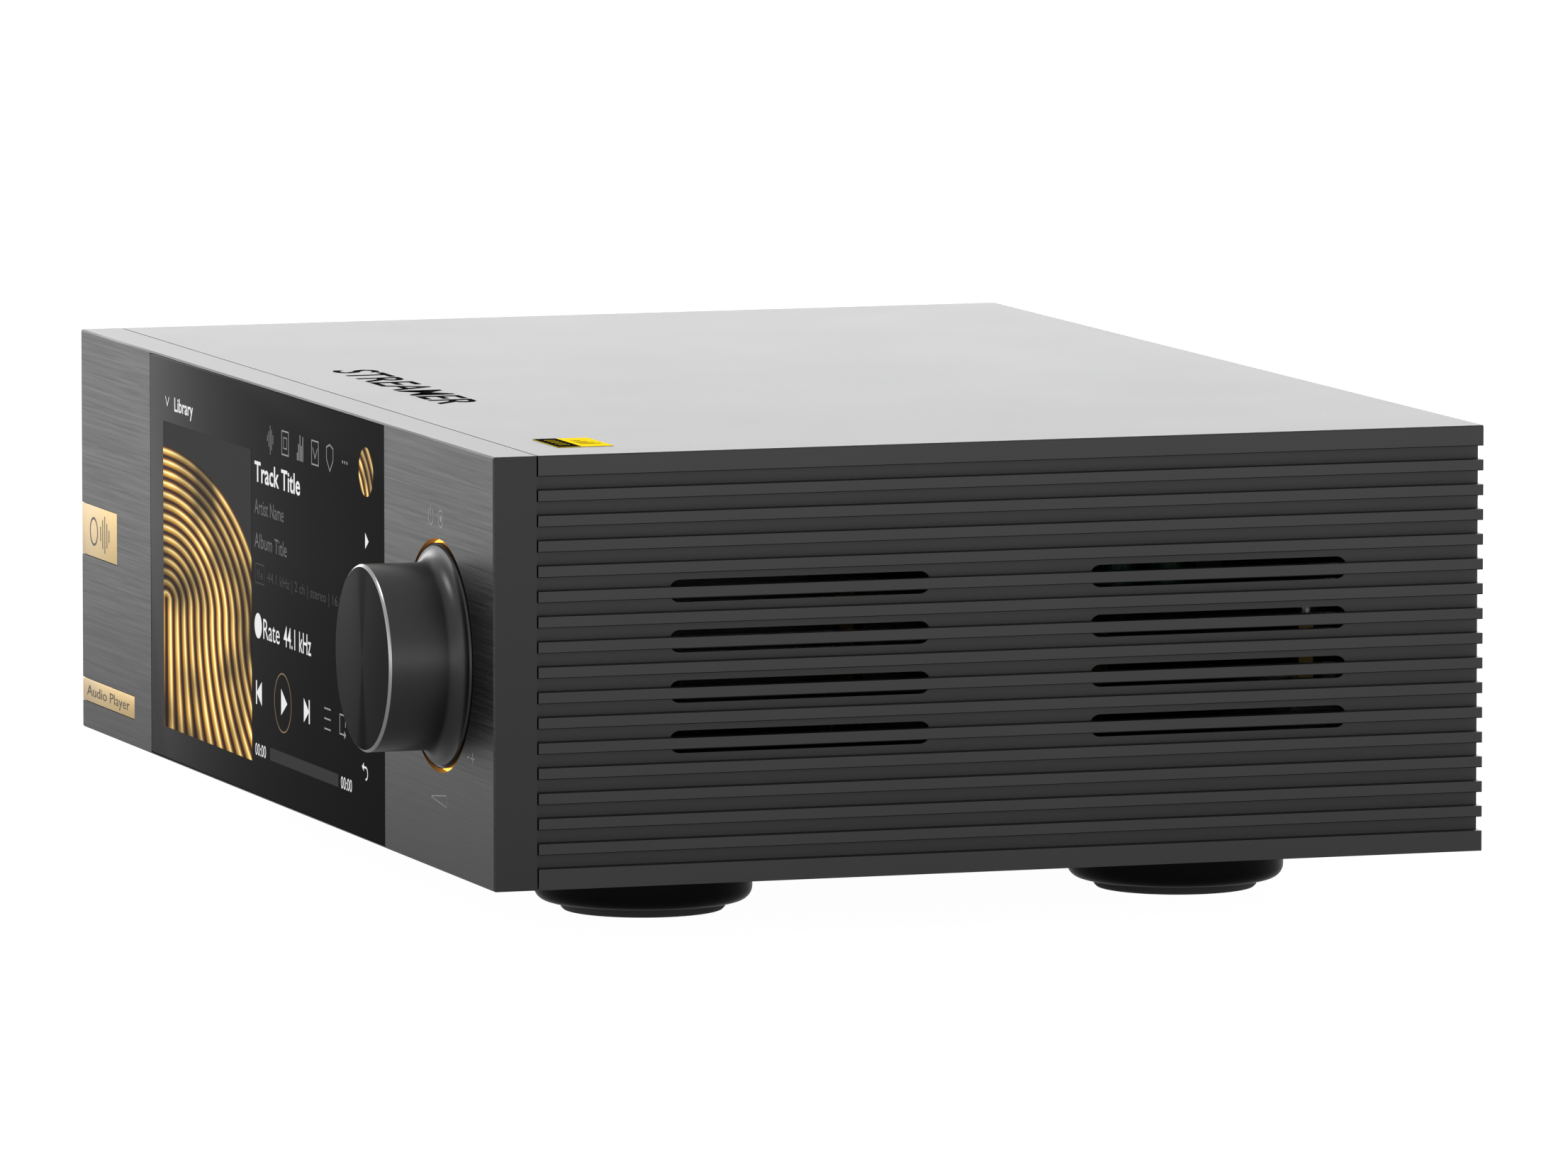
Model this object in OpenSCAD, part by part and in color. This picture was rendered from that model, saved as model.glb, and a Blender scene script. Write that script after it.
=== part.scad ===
// Desktop network audio player: ribbed aluminium case, touch display, push-and-turn volume knob.
// Millimetres. +X is to the right seen from the front, +Y runs to the back, +Z is up.
// The origin is on the table, under the middle of the whole object.
// The modules draw in the case's own frame: Y 0 is the front face, Z 0 is the underside of the case.

/* [Case] */
// Width of the case across its ribbed sides
body_w = 270; // [266:1:320]
// Depth of the case from the front face to the rear edge
body_d = 189; // [187:1:230]
// Height of the case without its feet
body_h = 78.1; // [77:0.1:90]
// Thickness of the side wall behind the grooves
side_wall = 2; // [1.5:0.1:2.5]
// Thickness of the top wall
top_wall = 2.5; // [1.5:0.1:3]
// Thickness of the front panel
panel_t = 8.1; // [8.1:0.1:9]
// Gap between the front panel and the shell
seam = 0.3; // [0.1:0.1:0.4]
// Thickness of the base plate and the rear panel
plate_t = 2; // [1.5:0.1:2]
// Bevel along the long edges of the shell and the panel
edge_bevel = 0.3; // [0.1:0.1:0.3]

/* [Side ribs] */
// Number of ribs on each side
rib_count = 15; // [13:2:15]
// Height of a rib
rib_h = 2; // [1.5:0.1:2.2]
// Height of a groove
groove_h = 2.54; // [2:0.02:2.6]
// Depth of a groove
groove_depth = 2.8; // [1.5:0.1:2.8]
// Length of a vent window behind a rib
vent_len = 49.6; // [30:0.1:60]
// Height of a vent window
vent_h = 4.1; // [3:0.1:4.4]
// Distance from the front face to the first column of vents
vent_y1 = 33.8; // [20:0.1:45]
// Distance from the front face to the second column of vents
vent_y2 = 113.9; // [110:0.1:125]

/* [Display] */
// Width of the cover glass
glass_w = 154.4; // [150:0.1:155]
// Centre of the cover glass, left of the case's middle
glass_x = -9; // [-12:0.5:-9]
// Thickness of the cover glass
glass_t = 1.1; // [0.8:0.1:1.2]
// Width of the display module
lcd_w = 143; // [120:1:143]
// Height of the display module
lcd_h = 72; // [60:1:72]

/* [Badges] */
// Width of the upper badge
logo_w = 24.9; // [15:0.1:30]
// Height of the upper badge
logo_h = 10; // [6:0.5:14]
// Height of the upper badge's lower edge above the case's underside
logo_z = 34.2; // [20:0.1:50]
// Width of the lower name plate
name_w = 36.8; // [20:0.1:40]
// Height of the lower name plate
name_h = 4.4; // [3:0.1:6]
// Height of the name plate's lower edge
name_z = 5.4; // [4:0.1:15]

/* [Volume knob] */
// Position of the knob's axis, right of the case's middle
knob_x = 101.6; // [98:0.1:106]
// Radius of the knob's grip
knob_r = 17; // [15:0.1:18]
// How far the knob stands out of the front face
knob_out = 14.4; // [13:0.1:20]
// Radius of the flared rim behind the grip
rim_r = 20.4; // [19:0.1:20.4]
// Radius of the round recess that the rim sits in
recess_r = 21.2; // [21.2:0.1:22]
// How far the knob can be pushed in
push_travel = 0.6; // [0.2:0.1:0.8]
// Radius of the encoder's shaft
shaft_r = 3; // [2.5:0.5:3]

/* [Feet] */
// Height of the feet
foot_h = 11.9; // [9:0.1:20]
// Radius of a foot
foot_r = 20.1; // [17:0.1:24]
// Radius of the rubber pad under a foot
pad_r = 15.1; // [11:0.1:15.5]
// Distance of the feet from the middle of the case
foot_x = 75.8; // [70:0.1:100]
// Distance from the front face to the front feet
foot_y1 = 47.1; // [35:0.1:55]
// Distance from the front face to the rear feet
foot_y2 = 151; // [145:0.5:160]

/* [Rear sockets] */
// Radius of an audio socket's barrel
rca_r = 4.15; // [4.1:0.05:4.2]
// Length of an audio socket's barrel outside the rear panel
rca_out = 9; // [8:0.5:10]
// Radius of an antenna socket's thread
antenna_r = 3.175; // [3.1:0.025:3.2]
// How far the antenna sockets stand out behind the case
rear_out = 10; // [9.5:0.5:12]
// Radius of a balanced socket's mouth
xlr_r = 8.2; // [8:0.1:8.4]

/* [Hidden] */

$fn = 64;
gap = 0.3;              // room between neighbouring fixed pieces
run = 0.06;             // radial clearance of a turning fit
cut = 1;                // how far a cutter reaches past the face it opens

// Case walls
half_w = body_w / 2;
front_y = -(body_d + rear_out - knob_out) / 2;
inner_x = half_w - groove_depth - side_wall;
inner_top = body_h - top_wall;
plate_x = inner_x - gap;
shell_y = panel_t + seam;
rib_pitch = rib_h + groove_h;
band_h = (body_h - rib_count * rib_h - (rib_count + 1) * groove_h) / 2;
vent_ribs = [4, 6, 8, 10];      // counted from the top, the first rib being 0
channel = 7;                    // screw channels in the shell's corners
channel_x = inner_x - channel / 2;
channel_low_z = plate_t + 5;
channel_top_z = inner_top - channel / 2;
screw_r = 1.5;
screw_head_r = 2.8;
head_sink = 1.3;                // depth of the sunk heads in the base plate
rear_y = body_d - 1;            // outer face of the rear panel
rear_in = rear_y - plate_t;

// Display
glass_lip = 0.35;
glass_gap = 0.1;
glue_t = 0.2;
glass_x0 = glass_x - glass_w / 2;
glass_x1 = glass_x + glass_w / 2;
lcd_t = 2.6;
lcd_x0 = glass_x - lcd_w / 2;
lcd_x1 = glass_x + lcd_w / 2;
lcd_z0 = (body_h - lcd_h) / 2;
lcd_z1 = lcd_z0 + lcd_h;
lcd_y = glass_t + glue_t;
badge_t = 0.6;

// Knob and encoder
knob_z = body_h / 2;
recess_d = 5.4;
rim_back = 2.2;
knob_wall = 3.5;
boss_r = 6;
bushing_r = 4.5;
bushing_front = 1.8;
nut_t = 2;
encoder_w = 13;
encoder_back = panel_t + 7;
cavity_y = panel_t + 3;
plunger_t = 1.2;
plunger_r = 4.2;
shaft_front = -8;               // where the shaft ends inside the knob
set_screw_y = -4;
hex_key_r = 0.85;
nut_r = 7;
ring_in_r = 15;
led_count = 12;

// Feet
pad_inset = 1.5;
pad_out = 1.7;
foot_round = 2.5;
foot_bolt_r = 2;
foot_head_r = 3.9;
foot_head_h = 2.4;
foot_seat = 5;                  // depth of the counterbore for the bolt's head

// Rear sockets, each by the middle of its mouth seen in the rear panel
inlet_x = -104;
inlet_z = 26;
rocker_x = -72;
rocker_z = 26;
rocker_tilt = 12;
line_xs = [-30, -12];
coax_xs = [-30, -12];
audio_z = 53;
coax_z = 18;
xlr_xs = [12, 46];
optical_xs = [3, 19];
optical_z = 14.7;
hdmi_x = 37;
usb_x = 60;
lan_x = 86;
antenna_xs = [-104, 104];
antenna_z = 63;
xlr_body_r = 11;
xlr_back = 168;
xlr_floor = 176;
xlr_pin_r = 1.2;
xlr_pin_c = 4.7;                // radius of the circle that the pins stand on
rca_flange_r = 6.2;
rca_bore_r = 3.3;
antenna_bore_r = 2.3;
antenna_nut_r = 4.6;

// Boards
board_t = 1.6;
board_z = 8;
board_top = board_z + board_t;
dac_z = 36;
dac_top = dac_z + board_t;
main_x = [-55, 121];
main_y = [72, 184];
dac_x = [-47, 76];
dac_y = [122, 184];
power_x = [-121, -58];
power_y = [60, 158];
terminal_y = 152;
post_r = 2.75;
post_inset = 5;

// ---- helpers ----

// Moves a piece from the case's own frame to the part's frame
module in_case() {
    translate([0, front_y, foot_h]) children();
}

// Box given by its two ends along each axis
module block(x, y, z) {
    translate([x[0], y[0], z[0]]) cube([x[1] - x[0], y[1] - y[0], z[1] - z[0]]);
}

module rod_x(x, y, z, r) {
    translate([x[0], y, z]) rotate([0, 90, 0]) cylinder(h = x[1] - x[0], r = r);
}

module rod_y(x, y, z, r) {
    translate([x, y[1], z]) rotate([90, 0, 0]) cylinder(h = y[1] - y[0], r = r);
}

module rod_z(x, y, z, r) {
    translate([x, y, z[0]]) cylinder(h = z[1] - z[0], r = r);
}

module square_between(x, y) {
    translate([x[0], y[0]]) square([x[1] - x[0], y[1] - y[0]]);
}

// Extrudes an outline drawn in X and Z along Y
module along_y(y) {
    translate([0, y[1], 0]) rotate([90, 0, 0]) linear_extrude(y[1] - y[0]) children();
}

// Extrudes an outline drawn in Y and Z along X
module along_x(x) {
    translate([x[0], 0, 0]) rotate([90, 0, 90]) linear_extrude(x[1] - x[0]) children();
}

// Turns a profile of [radius, y] points about an axis along Y
module spun_y(x, z) {
    translate([x, 0, z]) rotate([-90, 0, 0]) rotate_extrude($fn = 128) children();
}

function corner_posts(x, y) = [for (px = [x[0] + post_inset, x[1] - post_inset])
    for (py = [y[0] + post_inset, y[1] - post_inset]) [px, py]];

low_posts = concat(corner_posts(main_x, main_y), corner_posts(power_x, power_y));
high_posts = corner_posts(dac_x, dac_y);
rear_screws = [for (sx = [-1, 1]) for (z = [channel_low_z, channel_top_z]) [sx * channel_x, z]];
base_screws = [for (sx = [-1, 1]) for (y = [25, body_d / 2, body_d - 22]) [sx * channel_x, y]];

// ---- case ----

// Machined aluminium front with pockets for the glass, the knob and the badges
module front_panel() color("dimgray") in_case() {
    difference() {
        intersection() {
            along_y([0, panel_t]) square_between([-half_w, half_w], [0, body_h]);
            linear_extrude(body_h) bevelled_front(half_w);
            along_x([-half_w, half_w]) polygon([
                [edge_bevel, 0], [panel_t, 0], [panel_t, body_h], [edge_bevel, body_h],
                [0, body_h - edge_bevel], [0, edge_bevel]
            ]);
        }
        block([glass_x0 - glass_gap, glass_x1 + glass_gap], [-cut, lcd_y],
            [glass_lip, body_h - glass_lip]);
        block([lcd_x0 - gap, lcd_x1 + gap], [0, panel_t + cut], [lcd_z0 - gap, lcd_z1 + gap]);
        rod_y(knob_x, [-cut, recess_d], knob_z, recess_r, $fn = 128);
        rod_y(knob_x, [0, panel_t + cut], knob_z, bushing_r + 0.1);
        badge_pocket(logo_w, logo_h, logo_z);
        badge_pocket(name_w, name_h, name_z);
        for (p = rear_screws) rod_y(p[0], [panel_t - 5, panel_t + cut], p[1], screw_r);
    }
}

// Plan view of the panel, its front corners bevelled
module bevelled_front(half) {
    polygon([
        [-half, panel_t], [-half, edge_bevel], [-half + edge_bevel, 0],
        [half - edge_bevel, 0], [half, edge_bevel], [half, panel_t]
    ]);
}

module badge_pocket(w, h, z) {
    block([-half_w - cut, -half_w + w + glass_gap], [-cut, badge_t],
        [z - glass_gap, z + h + glass_gap]);
}

module logo_plate() color("goldenrod") in_case() {
    block([-half_w + edge_bevel, -half_w + logo_w], [0, badge_t], [logo_z, logo_z + logo_h]);
}

module name_plate() color("goldenrod") in_case() {
    block([-half_w + edge_bevel, -half_w + name_w], [0, badge_t], [name_z, name_z + name_h]);
}

// Right-hand outline of the shell, from the underside up over the grooves to the top bevel
function shell_side(half) = concat(
    [[half, 0]],
    [for (i = [0 : rib_count]) let (z = band_h + i * rib_pitch)
        each [[half, z], [half - groove_depth, z],
              [half - groove_depth, z + groove_h], [half, z + groove_h]]],
    [[half, body_h - edge_bevel], [half - edge_bevel, body_h]]
);

function mirrored(points) = [for (i = [len(points) - 1 : -1 : 0]) [-points[i][0], points[i][1]]];

// Extruded aluminium cover: top and both ribbed sides in one piece, open below and at both ends
module outer_shell() color("#3a3a3a") in_case() {
    difference() {
        along_y([shell_y, body_d])
            polygon(concat(shell_side(half_w), mirrored(shell_side(half_w))));
        block([-inner_x, inner_x], [0, body_d + cut], [-cut, inner_top]);
        for (sx = [-1, 1]) for (rib = vent_ribs) for (y = [vent_y1, vent_y2])
            vent_window(sx, y, rib_mid(rib));
    }
    for (sx = [-1, 1]) {
        shell_channel(sx, channel_low_z, plate_t, channel_low_z + channel / 2 + 0.5);
        shell_channel(sx, channel_top_z, inner_top - channel, inner_top);
    }
}

// Height of a rib's middle, counted from the top
function rib_mid(rib) = body_h - band_h - groove_h - rib * rib_pitch - rib_h / 2;

// A round-ended window through the side wall; the rib in front of it stays whole
module vent_window(side, y, z) {
    x = side > 0 ? [inner_x - cut, half_w - groove_depth]
                 : [-half_w + groove_depth, -inner_x + cut];
    r = vent_h / 2;
    block(x, [y + r, y + vent_len - r], [z - r, z + r]);
    for (end = [y + r, y + vent_len - r]) rod_x(x, end, z, r);
}

// Square rib along a corner of the shell with a screw hole in each end
module shell_channel(side, bore_z, z0, z1) {
    x = side > 0 ? [inner_x - channel, inner_x] : [-inner_x, -inner_x + channel];
    difference() {
        block(x, [shell_y + 3, rear_in], [z0, z1]);
        rod_y(side * channel_x, [shell_y, rear_in + cut], bore_z, screw_r);
        if (z0 == plate_t) for (p = base_screws) if (p[0] * side > 0)
            rod_z(p[0], p[1], [0, plate_t + 3], screw_r);
    }
}

ssd_w = 80;
ssd_d = 28;
ssd_y = 98;
ssd_t = 1.2;
ssd_ledge = 4;

// Steel plate that closes the case below, with a bay for a drive and two fields of vent slots
module base_plate() color("#2b2b2d") in_case() {
    difference() {
        block([-plate_x, plate_x], [shell_y + gap, rear_in - gap], [0, plate_t]);
        for (sx = [-1, 1]) for (y = [foot_y1, foot_y2])
            rod_z(sx * foot_x, y, [-cut, plate_t + cut], foot_bolt_r + 0.1);
        for (p = base_screws) {
            rod_z(p[0], p[1], [-cut, plate_t + cut], screw_r + 0.1);
            rod_z(p[0], p[1], [-cut, head_sink], screw_head_r + 0.1);
        }
        block([-ssd_w / 2, ssd_w / 2], [ssd_y - ssd_d / 2, ssd_y + ssd_d / 2], [-cut, ssd_t]);
        block([-ssd_w / 2 + ssd_ledge, ssd_w / 2 - ssd_ledge],
            [ssd_y - ssd_d / 2 + ssd_ledge, ssd_y + ssd_d / 2 - ssd_ledge], [-cut, plate_t + cut]);
        for (i = [-4 : 4]) for (sx = [-1, 1])
            block([sx * 104 - 12, sx * 104 + 12], [ssd_y + i * 5 - 1, ssd_y + i * 5 + 1],
                [-cut, plate_t + cut]);
    }
}

module ssd_cover() color("#2b2b2d") in_case() {
    block([-ssd_w / 2 + gap, ssd_w / 2 - gap],
        [ssd_y - ssd_d / 2 + gap, ssd_y + ssd_d / 2 - gap], [0, ssd_t]);
}

// Steel plate inside the front end of the shell that carries the front panel
module front_bracket() color("silver") in_case() {
    y = [shell_y + gap, shell_y + gap + 1.5];
    difference() {
        block([-plate_x, plate_x], y, [plate_t + gap, inner_top - gap]);
        block([lcd_x0 + 10, lcd_x1 - 10], [0, 20], [lcd_z0 + 10, lcd_z1 - 10]);
        rod_y(knob_x, [0, 20], knob_z, encoder_w);
        for (p = rear_screws) rod_y(p[0], [0, 20], p[1], screw_r + 0.1);
    }
}

// Thin decorative sticker on the top, near the front right corner
module top_label() color("gold") in_case() {
    block([106.2, 121.6], [16.4, 26.8], [body_h, body_h + 0.1]);
}

// ---- display ----

module display_glass() color("#222222") in_case() {
    block([glass_x0, glass_x1], [0, glass_t],
        [glass_lip + glass_gap, body_h - glass_lip - glass_gap]);
}

module display_panel() color("black") in_case() {
    block([lcd_x0, lcd_x1], [lcd_y, lcd_y + lcd_t], [lcd_z0, lcd_z1]);
}

// Pressed steel tray that holds the display module in the panel's window
module display_frame() color("silver") in_case() {
    y0 = lcd_y + lcd_t + 0.1;
    difference() {
        block([lcd_x0, lcd_x1], [y0, panel_t], [lcd_z0, lcd_z1]);
        block([lcd_x0 + 1, lcd_x1 - 1], [y0 + 1, panel_t + cut], [lcd_z0 + 1, lcd_z1 - 1]);
    }
}

// Flat flexible cable from the display module to the main board
module display_ribbon() color("peru") in_case() {
    block([-20, 10], [panel_t + 2.5, panel_t + 2.8], [22, 50]);
    block([-20, 10], [lcd_y + lcd_t + 1.4, panel_t + 2.8], [50, 50.3]);
    block([-20, 10], [panel_t + 2.5, main_y[0] + 4], [21.7, 22]);
    block([-20, 10], [main_y[0] + 3.7, main_y[0] + 4], [board_top + 3, 21.7]);
}

// ---- knob, encoder and light ring ----

// Turned aluminium knob: bevelled face, straight grip, concave flare to a thin rim
module volume_knob() color("#2f2f2f") in_case() {
    grip_back = -3.4;
    flare_r = rim_r - 0.5 - knob_r;
    difference() {
        spun_y(knob_x, knob_z) polygon(concat(
            [[0, -knob_out], [knob_r - 0.5, -knob_out], [knob_r, -knob_out + 0.5], [knob_r, grip_back]],
            [for (a = [10 : 10 : 90])
                [knob_r + flare_r * (1 - cos(a)), grip_back + (-0.3 - grip_back) * sin(a)]],
            [[rim_r, 0], [rim_r, rim_back], [0, rim_back]]
        ));
        spun_y(knob_x, knob_z) polygon([
            [boss_r, rim_back + cut], [boss_r, -knob_out + knob_wall],
            [knob_r - knob_wall, -knob_out + knob_wall], [knob_r - knob_wall, rim_back + cut]
        ]);
        rod_y(knob_x, [bushing_front - push_travel - 0.6, rim_back + cut], knob_z, boss_r + 0.01);
        rod_y(knob_x, [shaft_front, rim_back + cut], knob_z, shaft_r + 0.02);
        rod_z(knob_x, set_screw_y, [knob_z - rim_r, knob_z], screw_r);
    }
}

module knob_set_screw() color("#1a1a1a") in_case() {
    difference() {
        rod_z(knob_x, set_screw_y, [knob_z - boss_r, knob_z - shaft_r - 0.05], screw_r);
        translate([knob_x, set_screw_y, knob_z - boss_r - cut])
            cylinder(h = cut + 1.2, r = hex_key_r, $fn = 6);
    }
}

module encoder_shaft() color("silver") in_case() {
    rod_y(knob_x, [shaft_front, cavity_y + 0.4], knob_z, shaft_r);
}

module encoder_bushing() color("silver") in_case() {
    difference() {
        rod_y(knob_x, [bushing_front, panel_t], knob_z, bushing_r);
        rod_y(knob_x, [0, panel_t + cut], knob_z, shaft_r + run);
    }
}

module encoder_nut() color("silver") in_case() {
    difference() {
        rod_y(knob_x, [recess_d - nut_t, recess_d], knob_z, nut_r, $fn = 6);
        rod_y(knob_x, [0, panel_t], knob_z, bushing_r + 0.05);
    }
}

// Metal can of the rotary encoder, with room inside for the push switch's plunger
module encoder_body() color("silver") in_case() {
    half = encoder_w / 2;
    difference() {
        block([knob_x - half, knob_x + half], [panel_t, encoder_back],
            [knob_z - half, knob_z + half]);
        rod_y(knob_x, [0, cavity_y + cut], knob_z, shaft_r + run);
        rod_y(knob_x, [cavity_y, encoder_back - 1], knob_z, plunger_r + 0.4);
    }
}

module push_plunger() color("white") in_case() {
    rod_y(knob_x, [cavity_y + 0.45, cavity_y + 0.45 + plunger_t], knob_z, plunger_r);
}

module knob_board() color("darkgreen") in_case() {
    block([knob_x - 18, knob_x + 18], [encoder_back, encoder_back + board_t],
        [knob_z - 16, knob_z + 16]);
}

// Clear diffuser: a thin sleeve in the gap around the rim, on a flange behind it
module light_ring() color("orange") in_case() {
    spun_y(knob_x, knob_z) polygon([
        [rim_r + gap, 0.8], [recess_r - 0.1, 0.8], [recess_r - 0.1, 4], [ring_in_r, 4],
        [ring_in_r, 3.2], [rim_r + gap, 3.2]
    ]);
}

module led_board() color("darkgreen") in_case() {
    difference() {
        rod_y(knob_x, [recess_d - 0.8, recess_d], knob_z, recess_r - 0.2);
        rod_y(knob_x, [0, panel_t], knob_z, nut_r + 1);
    }
    for (i = [1 : led_count]) translate([knob_x, recess_d - 1, knob_z])
        rotate([0, i * 360 / led_count, 0]) translate([18.5, 0, 0]) cube([2, 0.4, 1.4], center = true);
}

// ---- feet ----

// Turned foot with a rounded lower edge, a recess for its pad and a screw in the middle
module foot(x, y) color("#101012") in_case() {
    low = -foot_h + pad_out;
    translate([x, y, 0]) difference() {
        rotate_extrude($fn = 96) polygon(concat(
            [[0, 0], [foot_r - 0.3, 0], [foot_r, -0.3]],
            [for (a = [0 : 15 : 90])
                [foot_r - foot_round + foot_round * cos(a), low + foot_round - foot_round * sin(a)]],
            [[0, low]]
        ));
        translate([0, 0, low - cut]) cylinder(h = pad_inset + cut, r = pad_r + 0.1);
        translate([0, 0, low]) cylinder(h = foot_h, r = foot_bolt_r + 0.2);
        translate([0, 0, low]) cylinder(h = foot_seat, r = foot_head_r + gap);
    }
}

module foot_front_left() foot(-foot_x, foot_y1);
module foot_front_right() foot(foot_x, foot_y1);
module foot_rear_left() foot(-foot_x, foot_y2);
module foot_rear_right() foot(foot_x, foot_y2);

module foot_pads() color("#0a0a0a") in_case() {
    top = -foot_h + pad_out + pad_inset;
    for (sx = [-1, 1]) for (y = [foot_y1, foot_y2]) translate([sx * foot_x, y, -foot_h])
        rotate_extrude($fn = 96) polygon([
            [0, 0], [pad_r - 0.4, 0], [pad_r, 0.4], [pad_r, top + foot_h], [0, top + foot_h]
        ]);
}

module foot_screws() color("silver") in_case() {
    head = -foot_h + pad_out + foot_seat;
    for (sx = [-1, 1]) for (y = [foot_y1, foot_y2]) {
        rod_z(sx * foot_x, y, [head - foot_head_h, head], foot_head_r);
        rod_z(sx * foot_x, y, [head, plate_t + 2.5], foot_bolt_r);
    }
}

// Rear panel screws with pan heads outside, and base plate screws with sunk heads
module case_screws() color("#1a1a1a") in_case() {
    for (p = rear_screws) {
        rod_y(p[0], [rear_y, rear_y + 1.6], p[1], screw_head_r);
        rod_y(p[0], [rear_y - 8, rear_y], p[1], screw_r - 0.05);
    }
    for (p = base_screws) {
        rod_z(p[0], p[1], [0.1, head_sink], screw_head_r);
        rod_z(p[0], p[1], [head_sink, plate_t + 2.9], screw_r - 0.05);
    }
}

// ---- boards and power supply ----

module post(p, z0, z1) {
    difference() {
        translate([p[0], p[1], z0]) cylinder(h = z1 - z0, r = post_r, $fn = 6);
        rod_z(p[0], p[1], [z0 + 1, z1 + cut], screw_r);
    }
}

module board_standoffs() color("goldenrod") in_case() {
    for (p = low_posts) post(p, plate_t, board_z);
    for (p = high_posts) post(p, board_top, dac_z);
}

module board_screws() color("silver") in_case() {
    for (p = low_posts) board_screw(p, board_top);
    for (p = high_posts) board_screw(p, dac_top);
}

module board_screw(p, z) {
    rod_z(p[0], p[1], [z, z + 1.8], 2.6);
    rod_z(p[0], p[1], [z - 4.5, z], screw_r - 0.05);
}

module board(x, y, z, holes) {
    difference() {
        block(x, y, [z, z + board_t]);
        for (p = holes) rod_z(p[0], p[1], [z - cut, z + board_t + cut], screw_r + 0.1);
    }
}

module main_board() color("darkgreen") in_case() {
    board(main_x, main_y, board_z, corner_posts(main_x, main_y));
    block([-22, 12], [main_y[0] + 1, main_y[0] + 7], [board_top, board_top + 3]);
    block([58, 84], [92, 118], [board_top, board_top + 2]);
    for (i = [0 : 3]) block([20, 32], [84 + i * 14, 94 + i * 14], [board_top, board_top + 1.2]);
}

// Finned aluminium block on the processor
module main_heatsink() color("#202020") in_case() {
    x = [52, 90];
    y = [86, 124];
    z = board_top + 2;
    fin_pitch = 4;
    block(x, y, [z, z + 3]);
    for (i = [0 : 9]) block([x[0] + i * fin_pitch, x[0] + i * fin_pitch + 2], y, [z + 3, z + 14]);
}

module dac_board() color("darkgreen") in_case() {
    board(dac_x, dac_y, dac_z, high_posts);
    for (i = [0 : 1]) block([-30 + i * 44, -22 + i * 44], [134, 142], [dac_top, dac_top + 1.2]);
    for (i = [0 : 4]) for (j = [0 : 1])
        rod_z(-34 + i * 20, 150 + j * 10, [dac_top, dac_top + 8], 3);
}

module power_board() color("darkgreen") in_case() {
    board(power_x, power_y, board_z, corner_posts(power_x, power_y));
    block([-113, -66], [148, terminal_y], [board_top, board_top + 9]);
    block([-76, -72], [72, 116], [board_top, board_top + 26]);
}

// Ferrite transformer: bobbin between two E-shaped cores
module power_transformer() color("darkorange") in_case() {
    x = -96;
    y = 117;
    winding_r = 11;
    base = board_top + 4;
    block([x - 12, x + 12], [y - 13, y + 13], [board_top, base]);
    rod_z(x, y, [base, base + 16], winding_r);
    difference() {
        block([x - 16, x + 16], [y - 9, y + 9], [base, base + 18]);
        rod_z(x, y, [base - cut, base + 16], winding_r + 0.1);
    }
}

module power_capacitors() color("#1c2230") in_case() {
    for (i = [0 : 2]) rod_z(-108 + i * 12, 84, [board_top, board_top + 24], 5.4);
    rod_z(-102, 66, [board_top, board_top + 10], 3.2);
    rod_z(-90, 140, [board_top, board_top + 20], 7);
}

// Sheet-metal hood over the power supply
module power_shield() color("silver") in_case() {
    x = [power_x[0] - 1.5, power_x[1] + 1.5];
    y = [power_y[0] - 1.5, power_y[1] + 1.5];
    difference() {
        block(x, y, [plate_t, 50]);
        block([x[0] + 1, x[1] - 1], [y[0] + 1, y[1] - 1], [0, 49]);
        block([-114, -64], [y[1] - 2, y[1] + cut], [0, 30]);
        for (i = [0 : 8]) block([x[0] + 8, x[1] - 8], [y[0] + 12 + i * 9, y[0] + 15 + i * 9], [45, 55]);
    }
}

lead_r = 1.3;
inlet_lead_y = 162;
rocker_lead_y = 165;
rocker_back = 172;

// One lead: down from its terminal, round a corner and forwards into the power supply
module lead_down(x, y, low, high) {
    rod_z(x, y, [low, high], lead_r);
    translate([x, y, low]) sphere(r = lead_r);
    rod_y(x, [terminal_y, y], low, lead_r);
}

// Insulated leads from the inlet and the switch to the power board
module mains_leads() color("saddlebrown") in_case() {
    lead_z = board_top + 5;
    for (side = [-1, 1]) {
        lead_down(inlet_x + side * 7, inlet_lead_y, lead_z, recess_z - 3);
        lead_down(rocker_x + side * 3, rocker_lead_y, lead_z, rocker_z);
        rod_y(rocker_x + side * 3, [rocker_lead_y, rocker_back], rocker_z, lead_r);
        translate([rocker_x + side * 3, rocker_lead_y, rocker_z]) sphere(r = lead_r);
    }
}

// ---- rear panel and its sockets ----

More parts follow.
